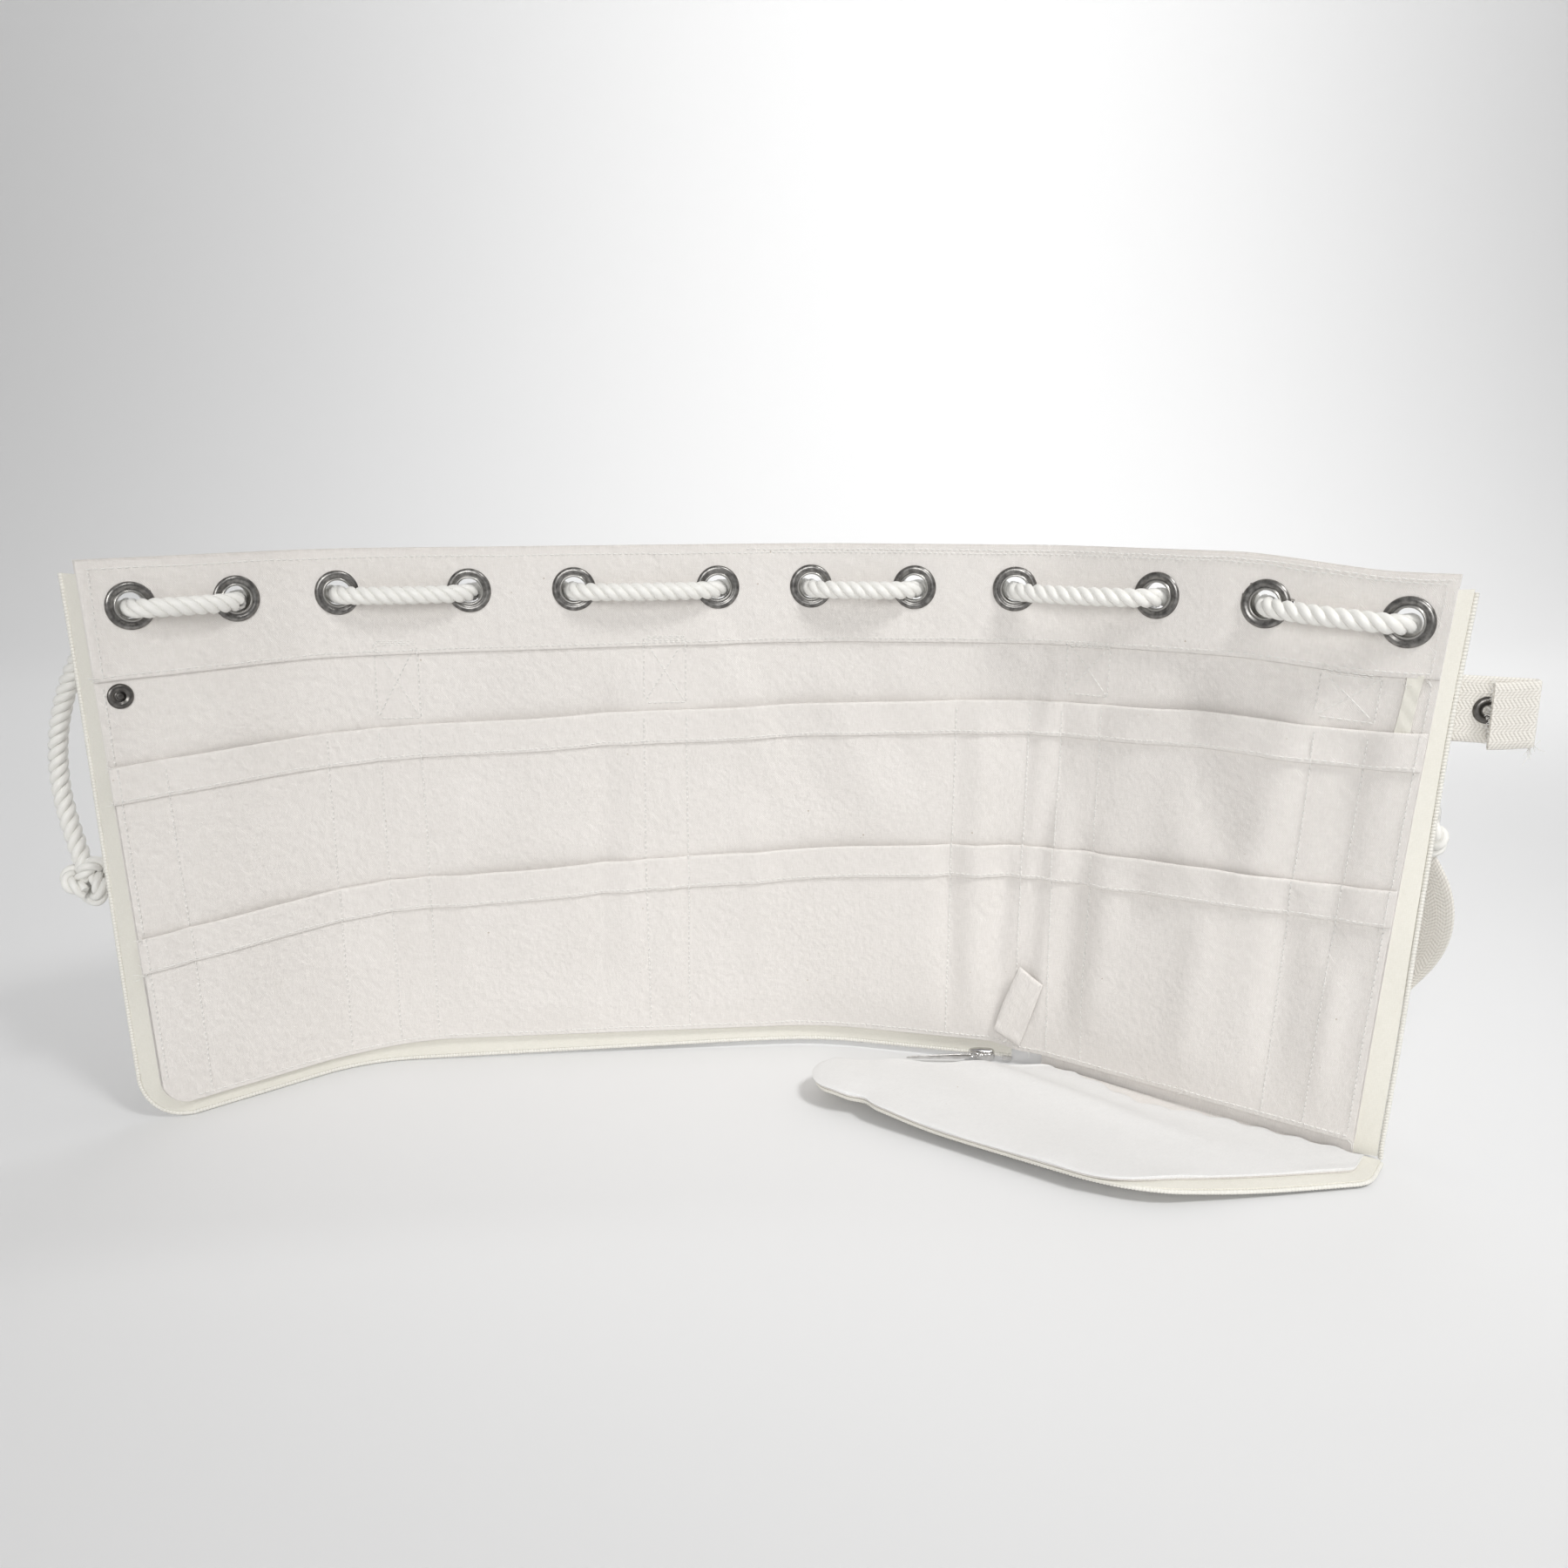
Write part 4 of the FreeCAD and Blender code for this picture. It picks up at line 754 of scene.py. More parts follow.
def handle_loop(name, middle, half, neck, wide, sole, knee, bends):
    """A webbing loop. Seen from behind, its middle line runs from one strap's top out, down and back
    to the other's, with corners of the radii in bends, and each point stands off the back by a bulge
    that grows downwards. Neck, wide and sole are how far it is outside the straps below its top, at
    the height of the knee and at its foot. Sizes are in millimetres."""
    neck, wide, sole = half + neck, half + wide, half + sole
    right = [(sole, 42), (wide, knee), (neck, 175), (half, 220)]
    line = [(-s, z) for s, z in right[::-1]] + right
    path = rounded(line, bends + bends[::-1], 3)
    across = np.array([-14, -13.3, -11, -6, 0, 6, 11, 13.3, 14])
    along = unit(np.gradient(path, axis=0))
    spread = path[:, None] + across[:, None] * np.stack([along[:, 1], -along[:, 0]], -1)[:, None]
    side = rounded([(5.0, 236), (5.0, 218), (10.8, 160), (38, 85), (33, 8)], (30, 60, 60), 2)[::-1]
    off = np.interp(spread[..., 1], side[:, 1], side[:, 0])
    edge = edge_round(14 - np.abs(across), 1.2)
    # The loop is a little fuller on its outer edge, so the webbing cups as it hangs
    off = off + 1.3 * np.sin(np.pi * np.clip((220 - spread[..., 1]) / 200, 0, 1)) * (across / 14) ** 2
    uv = np.stack(np.broadcast_arrays(across, run_of(path)[:, None]), -1) * mm
    s, z = middle + spread[..., 0] * mm, spread[..., 1] * mm
    thick = 0.35 + 0.65 * edge
    return shell(name, on_wall(s, -(off - thick) * mm, z), on_wall(s, -(off + thick) * mm, z), uv,
                 webbing)


# The right loop hangs a little wider than the left
for side, (first, last), shape in (("left", STRAPS[:2], (4, 36, -6, 112, (50, 30, 30))),
                                   ("right", STRAPS[2:], (8, 44, 4, 108, (44, 44, 32)))):
    loop = handle_loop("carry_loop_" + side, (first + last) / 2, (last - first) / 2 / mm, *shape)
    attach(loop, "handle_" + side)
    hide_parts("handle_loop_" + side)

# ------------------------------------------------------------------- the zip's tapes and coils
# One half of a long coil zip is sewn into the left side, the rounded corner and the lower edge. The
# other half goes up the right side. The tape is cream twill, and the coil a spiral of nylon.

TAPE, SIDE_TAPE = 0.8 * mm, 11 * mm
LEFT_TURN, RIGHT_TURN = (56, 74), (18, 54)
tape_cotton = cotton("zip_tape_twill", (0.86, 0.84, 0.77), (0.74, 0.715, 0.63), 2300.0, 0.00008)

nylon, tree, shader = finish_material("nylon_coil")
haze = noise(tree, add(tree, "ShaderNodeTexCoord").outputs["Object"], 700.0, 3.0)
tint = mixed(tree, haze, (0.70, 0.68, 0.61, 1), (0.86, 0.845, 0.80, 1))
tree.links.new(tint, shader.inputs["Base Color"])
gloss = add(tree, "ShaderNodeMapRange", {"Value": haze, "To Min": 0.3, "To Max": 0.5}).outputs[0]
tree.links.new(gloss, shader.inputs["Roughness"])
shader.inputs["Subsurface Weight"].default_value = 0.15
shader.inputs["Subsurface Radius"].default_value = (0.001, 0.001, 0.001)


def coil_lift(along):
    """Underside of the lower coil, which rises off the surface along the middle of the panel."""
    return 3 * mm * np.clip((along - 120 * mm) / (180 * mm), 0, 1)


def panel_edge(last):
    """The panel's outline from the top of its left side, round the corner and along its foot: its
    points, its outward directions and the width of tape outside it, as length and height pairs."""
    side = np.linspace(264 * mm, BOTTOM + CORNER, 90)
    turn = np.linspace(0, np.pi / 2, 24)[1:]
    foot = np.arange(CORNER + 1.2 * mm, last, 1.5 * mm)
    round_the_corner = -np.stack([np.cos(turn), np.sin(turn)], -1)
    points = np.r_[np.c_[0 * side, side], [CORNER, BOTTOM + CORNER] + CORNER * round_the_corner,
                   np.c_[foot, foot_of(foot)]]
    outward = np.r_[np.tile([-1.0, 0], (len(side), 1)), round_the_corner,
                    np.tile([0, -1.0], (len(foot), 1))]
    low = foot_of(foot) - coil_lift(foot) - 2.4 * mm
    ease = smooth(np.linspace(0, 1, len(turn)))
    width = np.concatenate([np.full(len(side), SIDE_TAPE), SIDE_TAPE + (low[0] - SIDE_TAPE) * ease, low])
    return points, outward, width


def turned_back(along, outward, height, turn):
    """A point outside the panel's end, on a tape that is turned back behind it, by an angle that
    changes from the first at the foot to the second at the top: the distance outward times its
    cosine and its sine."""
    angle = np.radians(turn[0] + (turn[1] - turn[0]) * smooth(height / (250 * mm)))
    return along + outward * np.cos(angle), -np.abs(outward) * np.sin(angle)


ZIP_END = 447 * mm
points, outward, width = panel_edge(ZIP_END)
share = np.r_[-0.25, 0.0, 0.05, 0.2, 0.4, 0.6, 0.8, 0.95, 1.0]
beyond = width[:, None] * share
z = points[:, 1, None] + outward[:, 1, None] * beyond
s, back = turned_back(points[:, 0, None], outward[:, 0, None] * beyond, z, LEFT_TURN)
ripple = 0.35 * mm * np.sin(points[:, 1, None] / (11 * mm)) * share.clip(0) * np.abs(outward[:, :1])
middle = back - 0.05 * mm + ripple
uv = np.stack(np.broadcast_arrays(beyond, run_of(points)[:, None]), -1)
left_tape = shell("left_zip_tape_cloth", on_wall(s, middle + TAPE / 2, z),
                  on_wall(s, middle - TAPE / 2, z), uv, tape_cotton)
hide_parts("left_zip_tape")


TOOTH_PITCH = 1.5 * mm


def coil(name, path, radius=1.22 * mm):
    """A coil seen from outside: a tube whose radius swells and dips once per tooth, by the size of
    a sine of the length along it."""
    run = run_of(path)
    even = np.linspace(0, run[-1], int(run[-1] / TOOTH_PITCH * 5))
    line = np.stack([np.interp(even, run, path[:, k]) for k in range(3)], -1)
    tooth = np.abs(np.sin(np.pi * even / TOOTH_PITCH))
    return rods(name, line[None], radius * (0.72 + 0.28 * tooth), nylon, 8, (0.3, 0.95, 0.05))


coil_at = points + outward * (width + 1.1 * mm)[:, None]
s, back = turned_back(points[:, 0], coil_at[:, 0] - points[:, 0], coil_at[:, 1], LEFT_TURN)
edge_line = on_wall(s, back, np.maximum(coil_at[:, 1], 1.25 * mm))
split = np.searchsorted(points[:, 0], 150 * mm)
left_coil = coil("left_zip_coil_teeth", edge_line[:split + 1])
lower_coil = coil("lower_zip_coil_teeth", edge_line[split:])
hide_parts("left_zip_coil")
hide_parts("lower_zip_coil")


def right_tape_at(height):
    """Width of the right tape, which narrows to the top, and the sine ripple of its free edge."""
    return 10 * mm - 2 * mm * smooth(height / (250 * mm)), 0.5 * mm * np.sin(height / (15 * mm) + 1)


z = np.linspace(2.5 * mm, 263.5 * mm, 110)[:, None]
wide, ripple = right_tape_at(z)
beyond = wide * share
s, back = turned_back(LENGTH, beyond, z, RIGHT_TURN)
middle = back + ripple * share.clip(0)
uv = np.stack(np.broadcast_arrays(beyond, z), -1)
right_tape = shell("right_zip_tape_cloth", on_wall(s, middle - TAPE / 2, z),
                   on_wall(s, middle + TAPE / 2, z), uv, tape_cotton)
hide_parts("right_zip_tape")
z = np.linspace(1.3 * mm, 262 * mm, 110)
wide, ripple = right_tape_at(z)
s, back = turned_back(LENGTH, wide + 1.3 * mm, z, RIGHT_TURN)
right_coil = coil("right_zip_coil_teeth", on_wall(s, back + ripple, z))
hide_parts("right_zip_coil")
for piece in (left_tape, right_tape):
    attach(piece, "roll")
for piece in (left_coil, lower_coil, right_coil):
    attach(piece, "roll")

# --------------------------------------------------------------- the zip's slider, ring and pull
# A bright plated slider runs on the coil and stands at the end of the lower edge. A bridge on its
# face carries a ring, and the ring a long thin pull that lies along the foot of the panel.

bright = metal("bright_plate", (0.62, 0.61, 0.60), (0.92, 0.91, 0.90), 0.12)
SLIDER, PULL_Z = 430 * mm, 5.2
ahead, inward, up = [axis[0] for axis in wall_axes(np.array([SLIDER]))]
slider_at = on_wall(SLIDER, 0, 0)


def by_slider(along, out, height):
    """Points in the slider's own directions: along the zip, out from it and up, in millimetres."""
    along, out, height = np.broadcast_arrays(along, out, height)
    return slider_at + np.stack([along, out, height], -1) * mm @ np.array([ahead, inward, up])


def lozenge(length, half_out, half_up, bend, rings=28, sides=24):
    """A rounded bar along one axis: rings of a squared circle, cosine and sine to the power 0.45,
    whose half sizes are multiplied by the bend and by a quarter circle at both ends."""
    t = np.cos(np.linspace(np.pi, 0, rings))
    ends = np.sqrt(np.clip(1 - np.abs(t) ** 8, 0.0004, 1))
    angle = np.arange(sides) * 2 * np.pi / sides
    y = np.sign(np.cos(angle)) * np.abs(np.cos(angle)) ** 0.45
    z = np.sign(np.sin(angle)) * np.abs(np.sin(angle)) ** 0.45
    x = np.broadcast_to(t[:, None] * length / 2, (rings, sides))
    return x, y * (half_out * ends * bend(t))[:, None], z * (half_up * ends * bend(t))[:, None]


def closed_tube(name, points, material):
    """A mesh from rings of points, with a flat face over each end."""
    rings, sides = points.shape[:2]
    number = np.arange(rings * sides).reshape(rings, sides)
    on = np.roll(number, -1, axis=1)
    skin = np.stack([number[:-1], on[:-1], on[1:], number[1:]], -1).reshape(-1, 4).tolist()
    return new_piece(name, points, skin + [number[0, ::-1].tolist(), number[-1].tolist()], material)


x, y, z = lozenge(14.2, 3.3, 3.55, lambda t: 0.8 + 0.2 * np.cos(1.3 * (t - 0.35)) - 0.12 * smooth(-t))
slider = closed_tube("slider_shell", by_slider(x, y, 3.95 + z), bright)
arch = np.linspace(0, np.pi, 15)
bridge_path = by_slider(-5.2 * np.cos(arch), 2.9 + 1.7 * np.sin(arch) ** 0.7, PULL_Z)
bridge = rods("slider_bridge", bridge_path[None], 0.62 * mm, bright, 8)
turn = np.linspace(-0.1, 1.9, 40) * np.pi
ring_path = by_slider(2.3 * np.sin(turn) - 0.6, 4.6 + 2.0 * np.cos(turn), PULL_Z + 0.5 * np.sin(turn))
bail = rods("slider_ring", ring_path[None], 0.55 * mm, bright, 8)
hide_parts("zip_slider_body")
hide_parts("zip_slider_bail")
for piece in (slider, bridge, bail):
    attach(piece, "zip_slider")

# The blade leans out from the panel and down, towards its far end
x, y, z = lozenge(34, 1.53, 0.45, lambda t: 0.55 + 0.45 * smooth((t + 1) / 2), 40, 16)
blade = by_slider(x - 21.5, 6.6 - 0.153 * (x - 17) + z, PULL_Z - 0.4 + y + 0.07 * (x - 17))
pull = closed_tube("zip_pull_blade", blade, bright)
eye_path = by_slider(-3.1 + 2.0 * np.cos(turn), 5.7 + 0.5 * np.cos(turn),
                     PULL_Z - 0.3 + 1.5 * np.sin(turn))
eye = rods("zip_pull_eye", eye_path[None], 0.5 * mm, bright, 8)
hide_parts("zip_pull_tab")
for piece in (pull, eye):
    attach(piece, "zip_pull")

# ------------------------------------------------------------------------- the snap and its tab
# A gunmetal snap stud is riveted through the panel's left end. Its socket and cap are riveted to a
# webbing tab on the right end, whose free end is folded back over the snap and left raw.

ring_profile = [(5.75, 0.0), (5.6, 0.5), (5.0, 1.0), (4.2, 1.35), (3.4, 1.2), (2.9, 0.7), (2.5, 0.55),
                (2.05, 0.9), (1.95, 0.4), (1.95, 0.0)]
snap_metal = metal("snap_plate", (0.10, 0.095, 0.09), (0.25, 0.24, 0.225), 0.22)
STUD, SNAP_Z = 9.5 * mm, TOP - 61 * mm
axes = wall_axes(np.array([STUD]))
stud = turned("stud_ring", ring_profile, wall(STUD, INNER, SNAP_Z), axes, snap_metal, 40)
washer = turned("stud_back_washer", [(4.75, 0), (4.6, 0.7), (3.9, 1.1), (2.3, 0.9), (1.95, 0.5), (1.95, 0)],
                wall(STUD, -OUTER, SNAP_Z), (axes[0], -axes[1], axes[2]), snap_metal, 40)
post_profile = [(0.02, 0.55), (1.1, 0.5), (1.7, 0.2), (1.94, 0.0), (1.94, -2.0), (1.2, -2.4), (0.02, -2.5)]
post = turned("stud_post", post_profile, wall(STUD, INNER, SNAP_Z), axes, snap_metal, 24)
for piece, node in ((stud, "snap_stud"), (washer, "snap_stud_washer"), (post, "snap_stud_post")):
    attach(piece, "roll")
    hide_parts(node)

across = np.array([-14, -13.4, -11, -7, -3, 0, 3, 7, 11, 13.4, 14]) * mm
edge = edge_round(WEB / 2 - np.abs(across), 1.2 * mm)
s, z = np.meshgrid(np.linspace(LENGTH - 17 * mm, LENGTH - 0.3 * mm, 9), SNAP_Z + across, indexing="ij")
sewn_end = shell("tab_sewn_webbing", on_line(s, -OUTER - 0.05 * mm, z),
                 on_line(s, -OUTER - WEBBING * (0.35 + 0.6 * edge), z), np.stack([z, s], -1), webbing)
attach(sewn_end, "roll")
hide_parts("snap_tab_sewn_end")

end_ahead, end_inward, end_up = [axis[0] for axis in wall_axes(np.array([LENGTH]))]
tab_root = on_line(LENGTH + 1.3 * mm, -2.2 * mm, SNAP_Z)
tab_angle = np.radians(25)
tab_way = np.cos(tab_angle) * end_ahead - np.sin(tab_angle) * end_inward
tab_face = np.sin(tab_angle) * end_ahead + np.cos(tab_angle) * end_inward


def by_tab(way, face, height):
    """Points in the tab's own directions: from its root to its tip, out from its face, and up."""
    way, face, height = np.broadcast_arrays(way, face, height)
    return tab_root + np.stack([way, face, height], -1) @ np.array([tab_way, tab_face, end_up])


# The webbing runs out 47 mm, turns round a 2 mm bend and comes back 15 mm, a little open
bend = np.linspace(-np.pi / 2, np.pi / 2, 11)
middle = np.r_[np.c_[np.linspace(0.2, 46.5, 30), np.zeros(30)],
               np.c_[47 + 2.0 * np.cos(bend), 2.0 + 2.0 * np.sin(bend)],
               np.c_[np.linspace(46.2, 31.5, 12), 4.05 + 3 * np.linspace(0, 0.5, 12) ** 2]] * mm
along = unit(np.gradient(middle, axis=0))
normal = np.stack([-along[:, 1], along[:, 0]], -1)
thick = 0.95 * mm * (0.4 + 0.6 * edge)[None, :, None]
run = run_of(middle)[:, None]
droop = -0.035 * run - 0.6 * mm * smooth((run - 0.05) / 0.015)
upper, under = middle[:, None] + thick * normal[:, None], middle[:, None] - thick * normal[:, None]
tab_uv = np.stack(np.broadcast_arrays(across, run), -1)
tab = shell("snap_tab_webbing", by_tab(upper[..., 0], upper[..., 1], across + droop),
            by_tab(under[..., 0], under[..., 1], across + droop), tab_uv, webbing)
snap_centre = by_tab(31 * mm, 1.0 * mm, -1.1 * mm)
socket = turned("tab_socket_ring", ring_profile, snap_centre, (tab_way, tab_face, end_up), snap_metal, 40)
cap_profile = [(0.02, 1.5), (2.5, 1.4), (4.4, 1.0), (5.7, 0.4), (6.0, 0.0), (5.4, -0.1), (0.02, -0.1)]
cap = turned("tab_cap_dome", cap_profile, by_tab(31 * mm, -1.0 * mm, -1.1 * mm),
             (tab_way, -tab_face, end_up), snap_metal, 40)
for piece, node, slot in ((tab, "snap_tab", "webbing"), (socket, "snap_socket", "snap_metal"),
                          (cap, "snap_cap", "snap_metal")):
    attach(piece, "snap_tab")
    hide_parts(node)

# ---------------------------------------------------------------------------------- the base flap
# The round base opens into a flap that lies in front of the right wing: canvas below, a whiter
# lining on top, bagged out and pressed. Its half of the zip is tucked under the free edge.

fold_corner, end_corner = corners[3, :2], corners[4, :2]
wing_way = unit(end_corner - fold_corner)
wing_out = np.array([wing_way[1], -wing_way[0]])
WING = np.hypot(*(end_corner - fold_corner)) / mm
SEAM = 1.5
# Places on the flap: along the right wing from its bend, and out from it, in millimetres
flap_corners = [(12.0, SEAM), (-86.0, 84.0), (-67.0, 108.0), (WING - 65.4, 104.0), (WING + 13.6, 24.0),
                (WING + 13.6, SEAM)]
flap_edge = rounded(flap_corners, (18, 18, 64, 16), 1.9)
flap_share = np.linspace(0, 1, len(flap_edge))
flap_way = unit(np.gradient(flap_edge, axis=0))
flap_inward = np.stack([flap_way[:, 1], -flap_way[:, 0]], -1)
white_cotton = cotton("white_lining", (0.83, 0.825, 0.815), (0.72, 0.715, 0.705), 1700.0, 0.0001)


def flap_height(a, p):
    """Height of the flap's underside over the surface: it climbs from its seam to its free edge,
    most at the left tip, with soft ripples fanning from the fold and a dip by the front notch."""
    rise = 3.0 + 5.5 * smooth(p / 100) * smooth((WING + 10 - a) / 70) + 3.5 * smooth((10 - a) / 90)
    fan = np.arctan2(p + 12, a + 150)
    ripples = 0.55 * np.sin(26 * fan + a / 40) * smooth(p / 30) + 0.5 * np.sin(a / 23 + p / 31)
    ridge = 2.3 * np.exp(-((p - 30 - 0.10 * a) / 9) ** 2) * smooth((a + 60) / 60) * smooth((120 - a) / 60)
    notch = -1.6 * np.exp(-((a + 42) / 9) ** 2) * smooth((p - 80) / 20)
    return rise + ripples + ridge + notch


def flap_place(inset, share, seam_out):
    """Points of the flap: along its outline (first axis) and from the seam out to the outline moved
    in by the inset (second axis). The seam's side starts seam_out from the seam."""
    edge = flap_edge + flap_inward * np.reshape(inset, (-1, 1))
    left, right = 12 + np.reshape(inset, -1)[0], WING + 13.6 - np.reshape(inset, -1)[-1]
    seam = np.stack([left + (right - left) * flap_share, SEAM + seam_out + 0 * flap_share], -1)
    edge[:, 1] = np.maximum(edge[:, 1], seam[:, 1])
    return seam[:, None] + (edge - seam)[:, None] * share[None, :, None]


def on_flap(place, height):
    """Points over the surface from places on the flap and heights, in millimetres."""
    flat = fold_corner + (place[..., :1] * wing_way + place[..., 1:] * wing_out) * mm
    return np.concatenate([flat, np.asarray(height)[..., None] * mm], -1)


# Along the outline: how far the zip shows past the cloth, the notch in the free edge, and where the
# lining starts, in millimetres from the seam
bared = smooth((flap_share - 0.66) / 0.1)
dent = 4.0 * np.exp(-((flap_edge[:, 0] + 40) / 6) ** 2) * smooth((flap_edge[:, 1] - 60) / 30)
across = np.r_[0, 0.01, 0.03, np.linspace(0.06, 0.95, 48), 0.975, 0.99, 1]
pucker = 3.8 + 9 * np.exp(-((flap_share - 0.34) / 0.16) ** 2) + 1.2 * np.sin(flap_share * 60)
for name, node, inset, low, thick, start, material, slot in (
        ("flap_canvas", "base_outer", 2.8 + 6.2 * bared + dent, 0.0, 0.9, 2.6, canvas, "canvas"),
        ("flap_lining", "base_lining", 2.0 + 6.4 * bared + dent, 1.1, 0.8, pucker, white_cotton, "lining")):
    place = flap_place(inset, across, start)
    base = flap_height(place[..., 0], place[..., 1]) + low
    gap = 0.55 * np.sin(place[..., 0] / 8 + 1) * (low > 0) * smooth((across - 0.7) / 0.3)
    round_edge = edge_round((1 - across) * 90, 1.0) * edge_round(across * 90, 1.0)
    top = base + gap.clip(0) + thick * (0.3 + 0.7 * round_edge)
    piece = shell(name, on_flap(place, top)[::-1], on_flap(place, base)[::-1], place[::-1] * mm, material)
    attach(piece, "base_flap")
    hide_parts(node)

zip_outer = 3.2 - 1.4 * bared + dent
zip_share = np.linspace(0, 1, 9)
outer_edge = flap_edge + flap_inward * zip_outer[:, None]
inner_edge = flap_edge + flap_inward * (zip_outer + 8.5)[:, None]
place = outer_edge[:, None] + (inner_edge - outer_edge)[:, None] * zip_share[None, :, None]
place[..., 1] = np.maximum(place[..., 1], SEAM + 0.4)
under = flap_height(place[..., 0], place[..., 1]) - 0.9 - 0.5 * (1 - bared)[:, None] * (1 - zip_share)
flap_tape = shell("flap_zip_tape", on_flap(place, under + 0.7), on_flap(place, under), place * mm,
                  tape_cotton)
coil_edge = flap_edge + flap_inward * (zip_outer + 1.6 - 2.2 * bared)[:, None]
coil_edge[:, 1] = np.maximum(coil_edge[:, 1], SEAM + 0.8)
coil_z = flap_height(coil_edge[:, 0], coil_edge[:, 1]) - 2.1 + 0.5 * bared
flap_coil = coil("flap_zip_coil", on_flap(coil_edge, np.maximum(coil_z, 1.15)), radius=1.1 * mm)
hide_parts("base_zip_tape")
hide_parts("base_zip_coil")
for piece, slot in ((flap_tape, "zip_tape"), (flap_coil, "zip_coil")):
    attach(piece, "base_flap")

# The seam that joins flap and panel is bound with a turned strip, puckered by its stitching. Its
# foot runs out under the flap
s, share = np.meshgrid(lines(462 * mm, LENGTH - 0.3 * mm, 1.6 * mm), np.linspace(0, 1, 15), indexing="ij")
z = 0.3 * mm + 8.2 * mm * share
pucker = (0.5 * np.sin(s / (2.3 * mm) + 3 * np.sin(s / (19 * mm))) + 0.5) * np.sin(np.pi * share) * mm
lip = 2.8 * mm * smooth((2.7 * mm - z) / (1.4 * mm))
binding = shell("base_seam_strip", on_wall(s, 1.1 * mm + 0.4 * pucker + lip, z), on_wall(s, -1.2 * mm, z),
                np.stack([s, z], -1), canvas)
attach(binding, "roll")
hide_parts("base_seam_binding")

# The zip's metal retainer stays as it was made, plated like the slider
nodes["zip_retainer"].data.materials.clear()
nodes["zip_retainer"].data.materials.append(bright)

# --------------------------------------------------------------- the finger tab and the side strip
# A folded scrap of canvas, sewn in beside the zip's end, is held while the slider is pulled. A raw
# piece of tape covers the seam at the right edge, between the band and the upper pockets.

FINGER = LENGTH - 166.8 * mm
wide = np.r_[-6.5, -6.1, -4.5, -2, 0, 2, 4.5, 6.1, 6.5] * mm
long = np.r_[0, 0.4, 1.2, np.linspace(3, 35, 16), 36.4, 37] * mm
w, h = np.meshgrid(wide, long, indexing="ij")
# Both ends are cut on a slant that falls to the right, and the tab leans to the right as it rises
lean = np.tan(np.radians(19))
s = FINGER + w * 1.08 + (h - 20 * mm) * lean - 1.0 * mm * np.sin(np.pi * h / (37 * mm)) * (w < 0)
z = 16 * mm + h - 0.64 * w
cupped = 0.6 * mm * np.cos(w / (3.2 * mm)) * smooth(h / (12 * mm))
away = 4.9 * mm + 1.7 * mm * smooth(h / (30 * mm)) + cupped
thick = 1.4 * mm * (0.3 + 0.7 * edge_round(6.5 * mm - np.abs(w), 0.8 * mm) * edge_round(h, 1 * mm))
thick = thick * (0.4 + 0.6 * edge_round(37 * mm - h, 0.8 * mm))
thick = thick + 0.5 * mm * np.exp(-((h - 3 * mm) / (1.1 * mm)) ** 2)
finger = shell("finger_tab_cloth", on_wall(s, away + thick, z), on_wall(s, away, z),
               np.stack([w, h], -1), canvas)
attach(finger, "finger_tab")
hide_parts("finger_tab")

STRIP = LENGTH - 9 * mm
w, share = np.meshgrid(np.linspace(-3.2, 3.2, 9) * mm, np.linspace(0, 1, 26), indexing="ij")
upper_mouth = ROWS["upper"][0]
z = upper_mouth(STRIP) - 1 * mm + share * (band_low(STRIP) - upper_mouth(STRIP) + 2.5 * mm)
s = STRIP + w * (1 - 0.12 * np.sin(np.pi * share)) - 1.3 * mm * (1 - share)
away = 2.0 * mm + 0.3 * mm * np.sin(3.1 * np.pi * share + w / (2.4 * mm)) ** 2
strip = shell("side_strip_tape", on_wall(s, away + 0.7 * mm, z), on_wall(s, away, z),
              np.stack([w, z], -1), tape_cotton)
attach(strip, "roll")
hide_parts("side_tape_strip")

# --------------------------------------------------------------------------------- the stitching
# Lockstitch in thick white cotton thread, about ten stitches to the inch. Each stitch is a short
# bent rod that dips into the cloth at both ends.

THREAD, PITCH = 0.34 * mm, 2.8 * mm
thread, tree, shader = finish_material("sewing_thread")
ply = noise(tree, add(tree, "ShaderNodeTexCoord").outputs["Object"], 3000.0)
tint = mixed(tree, ply, (0.70, 0.68, 0.645, 1), (0.93, 0.92, 0.89, 1))
tree.links.new(tint, shader.inputs["Base Color"])
shader.inputs["Roughness"].default_value = 0.7
shader.inputs["Sheen Weight"].default_value = 0.4


def stitches_along(path):
    """Four points of each stitch along a flat path: 0.34 and 0.15 of the pitch before the stitch's
    middle, and as far after it. Returns places (stitch, point, 2)."""
    path = np.asarray(path, float)
    run = run_of(path)
    middle = np.arange(PITCH, run[-1] - PITCH / 2, PITCH)
    at = middle[:, None] + np.array([-0.34, -0.15, 0.15, 0.34]) * PITCH
    return np.stack([np.interp(at, run, path[:, k]) for k in (0, 1)], -1)


rng = np.random.default_rng(12)


def level_seam(first, last, height):
    """Seam path along the panel at a height that is a function of the place along it."""
    s = np.linspace(first, last, 400)
    wobble = np.interp(s, np.linspace(first, last, 60), rng.normal(0, 0.16 * mm, 60))
    return np.stack([s, height(s) + wobble], -1)


def upright_seam(place, low, high):
    """Seam path up the panel at a place along it."""
    z = np.linspace(low, high, 80)
    wobble = np.interp(z, np.linspace(low, high, 14), np.cumsum(rng.normal(0, 0.14 * mm, 14)))
    return np.stack([place + wobble, z], -1)


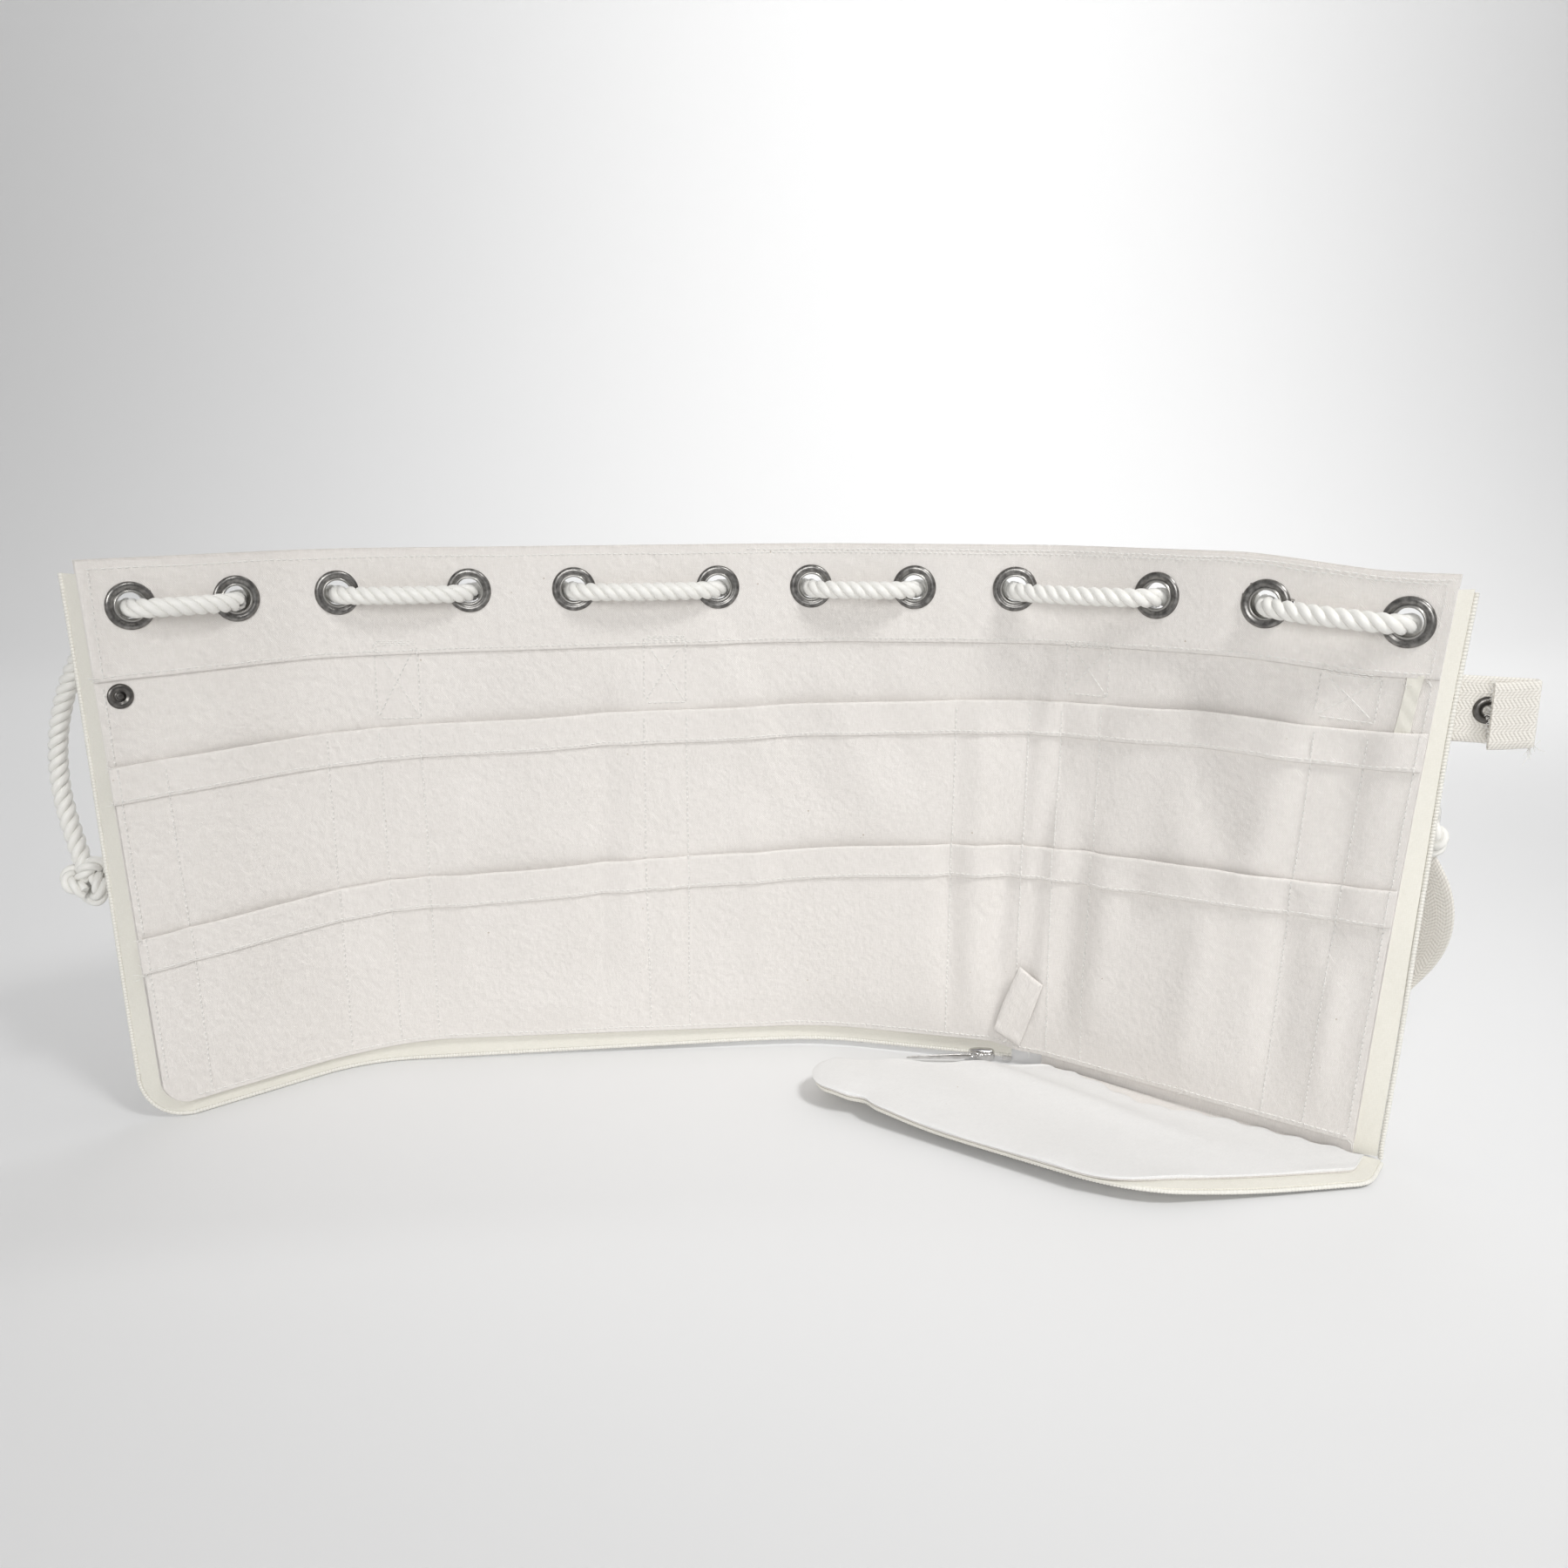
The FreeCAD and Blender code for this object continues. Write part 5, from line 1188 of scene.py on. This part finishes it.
def sew(name, paths, front):
    """One piece of stitches over many paths on the wall. Front gives the cloth's face at a place."""
    flat = np.concatenate([stitches_along(path) for path in paths])
    s, z = flat[..., 0], flat[..., 1]
    face = front(s.mean(axis=1), z.mean(axis=1))[:, None] + np.array([-0.22, 0.2, 0.2, -0.22]) * mm
    piece = rods(name, wall(s, face, z), THREAD, thread, 4, (0.31, 0.2, 0.93))
    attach(piece, "roll")


sew("band_stitching", [level_seam(2 * mm, LENGTH - 2 * mm, lambda s: band_low(s) + 2.2 * mm),
                       level_seam(2 * mm, LENGTH - 2 * mm, lambda s: TOP - 4.2 * mm + 0 * s),
                       level_seam(300 * mm, LENGTH - 2 * mm, lambda s: TOP - 2.6 * mm + 0 * s),
                       upright_seam(4.2 * mm, 216 * mm, TOP - 4 * mm),
                       upright_seam(LENGTH - 3.6 * mm, 226 * mm, TOP - 4 * mm)], front_of)
hems = [level_seam(1 * mm, LENGTH - 1 * mm, lambda s, row=row: hem_ends(row, s)[0] + 1.9 * mm)
        for row in ROWS]
tool_seams = [upright_seam(place, foot_of(place) + 3 * mm, upper_mouth(place) - 1 * mm)
              for place in SEAMS[1:-1]]
sew("pocket_stitching", hems + tool_seams[:6], front_of)
sew("slot_stitching", tool_seams[6:], front_of)
sew("edge_stitching", [upright_seam(2.6 * mm, BOTTOM + CORNER, 214 * mm),
                       upright_seam(LENGTH - 3.2 * mm, BOTTOM + 4 * mm, 222 * mm),
                       level_seam(CORNER, LENGTH - 3 * mm, lambda s: foot_of(s) + 3.2 * mm)], front_of)
boxes = []
for middle in STRAPS:
    left, right, high = middle - 10.5 * mm, middle + 10.5 * mm, STRAP_TOP + 4 * mm
    low = upper_mouth(middle) + 4 * mm
    boxes += [[(left, low), (right, low), (right, high), (left, high), (left, low)],
              [(left, low), (right, high)], [(left, high), (right, low)],
              [(left, high + 0.9 * mm), (right, high + 0.9 * mm)],
              [(left, high - 1.1 * mm), (right, high - 0.9 * mm)]]
strap_sides = [[(place + side, STRAP_LOW + 2 * mm), (place + side, 186 * mm)]
               for side in (-11.5 * mm, 11.5 * mm) for place in STRAPS]
sew("box_stitching", boxes, front_of)
sew("strap_stitching", boxes + strap_sides, lambda s, z: np.full(s.shape, -OUTER - WEBBING - 0.1 * mm))
sew("back_stitching", [level_seam(2 * mm, LENGTH - 2 * mm, lambda s: TOP - 4.2 * mm + 0 * s),
                       level_seam(2 * mm, LENGTH - 2 * mm, lambda s: band_low(s) + 2.2 * mm),
                       level_seam(CORNER, LENGTH - 3 * mm, lambda s: foot_of(s) + 3.2 * mm),
                       upright_seam(2.6 * mm, BOTTOM + CORNER, 262 * mm),
                       upright_seam(LENGTH - 3.2 * mm, BOTTOM + 4 * mm, 262 * mm)],
    lambda s, z: np.full(s.shape, -OUTER - 0.05 * mm))

# ------------------------------------------------------------------------------ the loose threads
# Raw ends were left untrimmed: a few short curly threads stand off the hems' ends, the side strip,
# the foot of the finger tab, the tab's fold and the corner by the zip's end.


def curls(name, roots, ways, length, many, body, radius=0.13 * mm):
    """Curly threads: from each root, steps in a direction that wanders a little at every step."""
    roots, ways = np.repeat(roots, many, axis=0), np.repeat(unit(np.asarray(ways, float)), many, axis=0)
    count = len(roots)
    reach = length * rng.uniform(0.4, 1.15, (count, 1, 1))
    turn = np.cumsum(rng.normal(0, 0.42, (count, 9, 3)), axis=1)
    steps = unit(ways[:, None] + turn) * reach / 9
    start = roots + rng.normal(0, 0.6 * mm, (count, 3))
    points = np.concatenate([start[:, None], start[:, None] + np.cumsum(steps, axis=1)], axis=1)
    points[..., 2] = np.maximum(points[..., 2], 0.3 * mm)
    piece = rods(name, points, radius, thread, 4, (0.31, 0.2, 0.93))
    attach(piece, body)


# Roots of the threads by place along the line and height, and the ways they point
loose = [(0.5, 177, (-1, -1, 0)), (0.5, 160, (-1, -1, 0.3)), (0.5, 95, (-1, -1, 0)),
         (0.5, 79, (-1, -1, -0.2)), (2, 218, (-0.6, -1, -0.4)), (444, 16, (-0.8, -1, 0.5)),
         (441, 20, (-0.8, -1, 0.8)), (455, 9.5, (0.6, -1, 0.2)), (612, 224, (0.3, -1, -0.4)),
         (603, 223, (-0.6, -1, -0.6)), (611, 202, (0.2, -1, -0.8)), (614, 10, (0.1, -1, -0.2)),
         (608, 9, (0, -1, -0.3)), (612, 113, (0.8, -0.6, -0.6)), (537, 11, (0, -1, 0.8)),
         (520, 11, (0, -1, 0.9)), (505, 226, (0, -1, 0.2)), (574, 227, (0.2, -1, 0.1))]
along, height = np.array([root[:2] for root in loose]).T * mm
curls("loose_threads", wall(along, front_of(along, height), height), [root[2] for root in loose],
      5.0 * mm, 5, "roll")
fold_end = by_tab(31.5 * mm, 4.3 * mm, np.linspace(-13.5, 13.5, 26) * mm - 1.2 * mm)
curls("tab_frayed_end", fold_end, np.tile(-tab_way + 0.3 * tab_face, (26, 1)), 1.3 * mm, 5, "snap_tab",
      0.11 * mm)
tab_corner = by_tab(49 * mm, 2.0 * mm, np.linspace(-15, -12.5, 6) * mm - 1.8 * mm)
curls("tab_loose_threads", tab_corner, np.tile([-0.1, -0.3, -1.0], (6, 1)), 6 * mm, 2, "snap_tab")
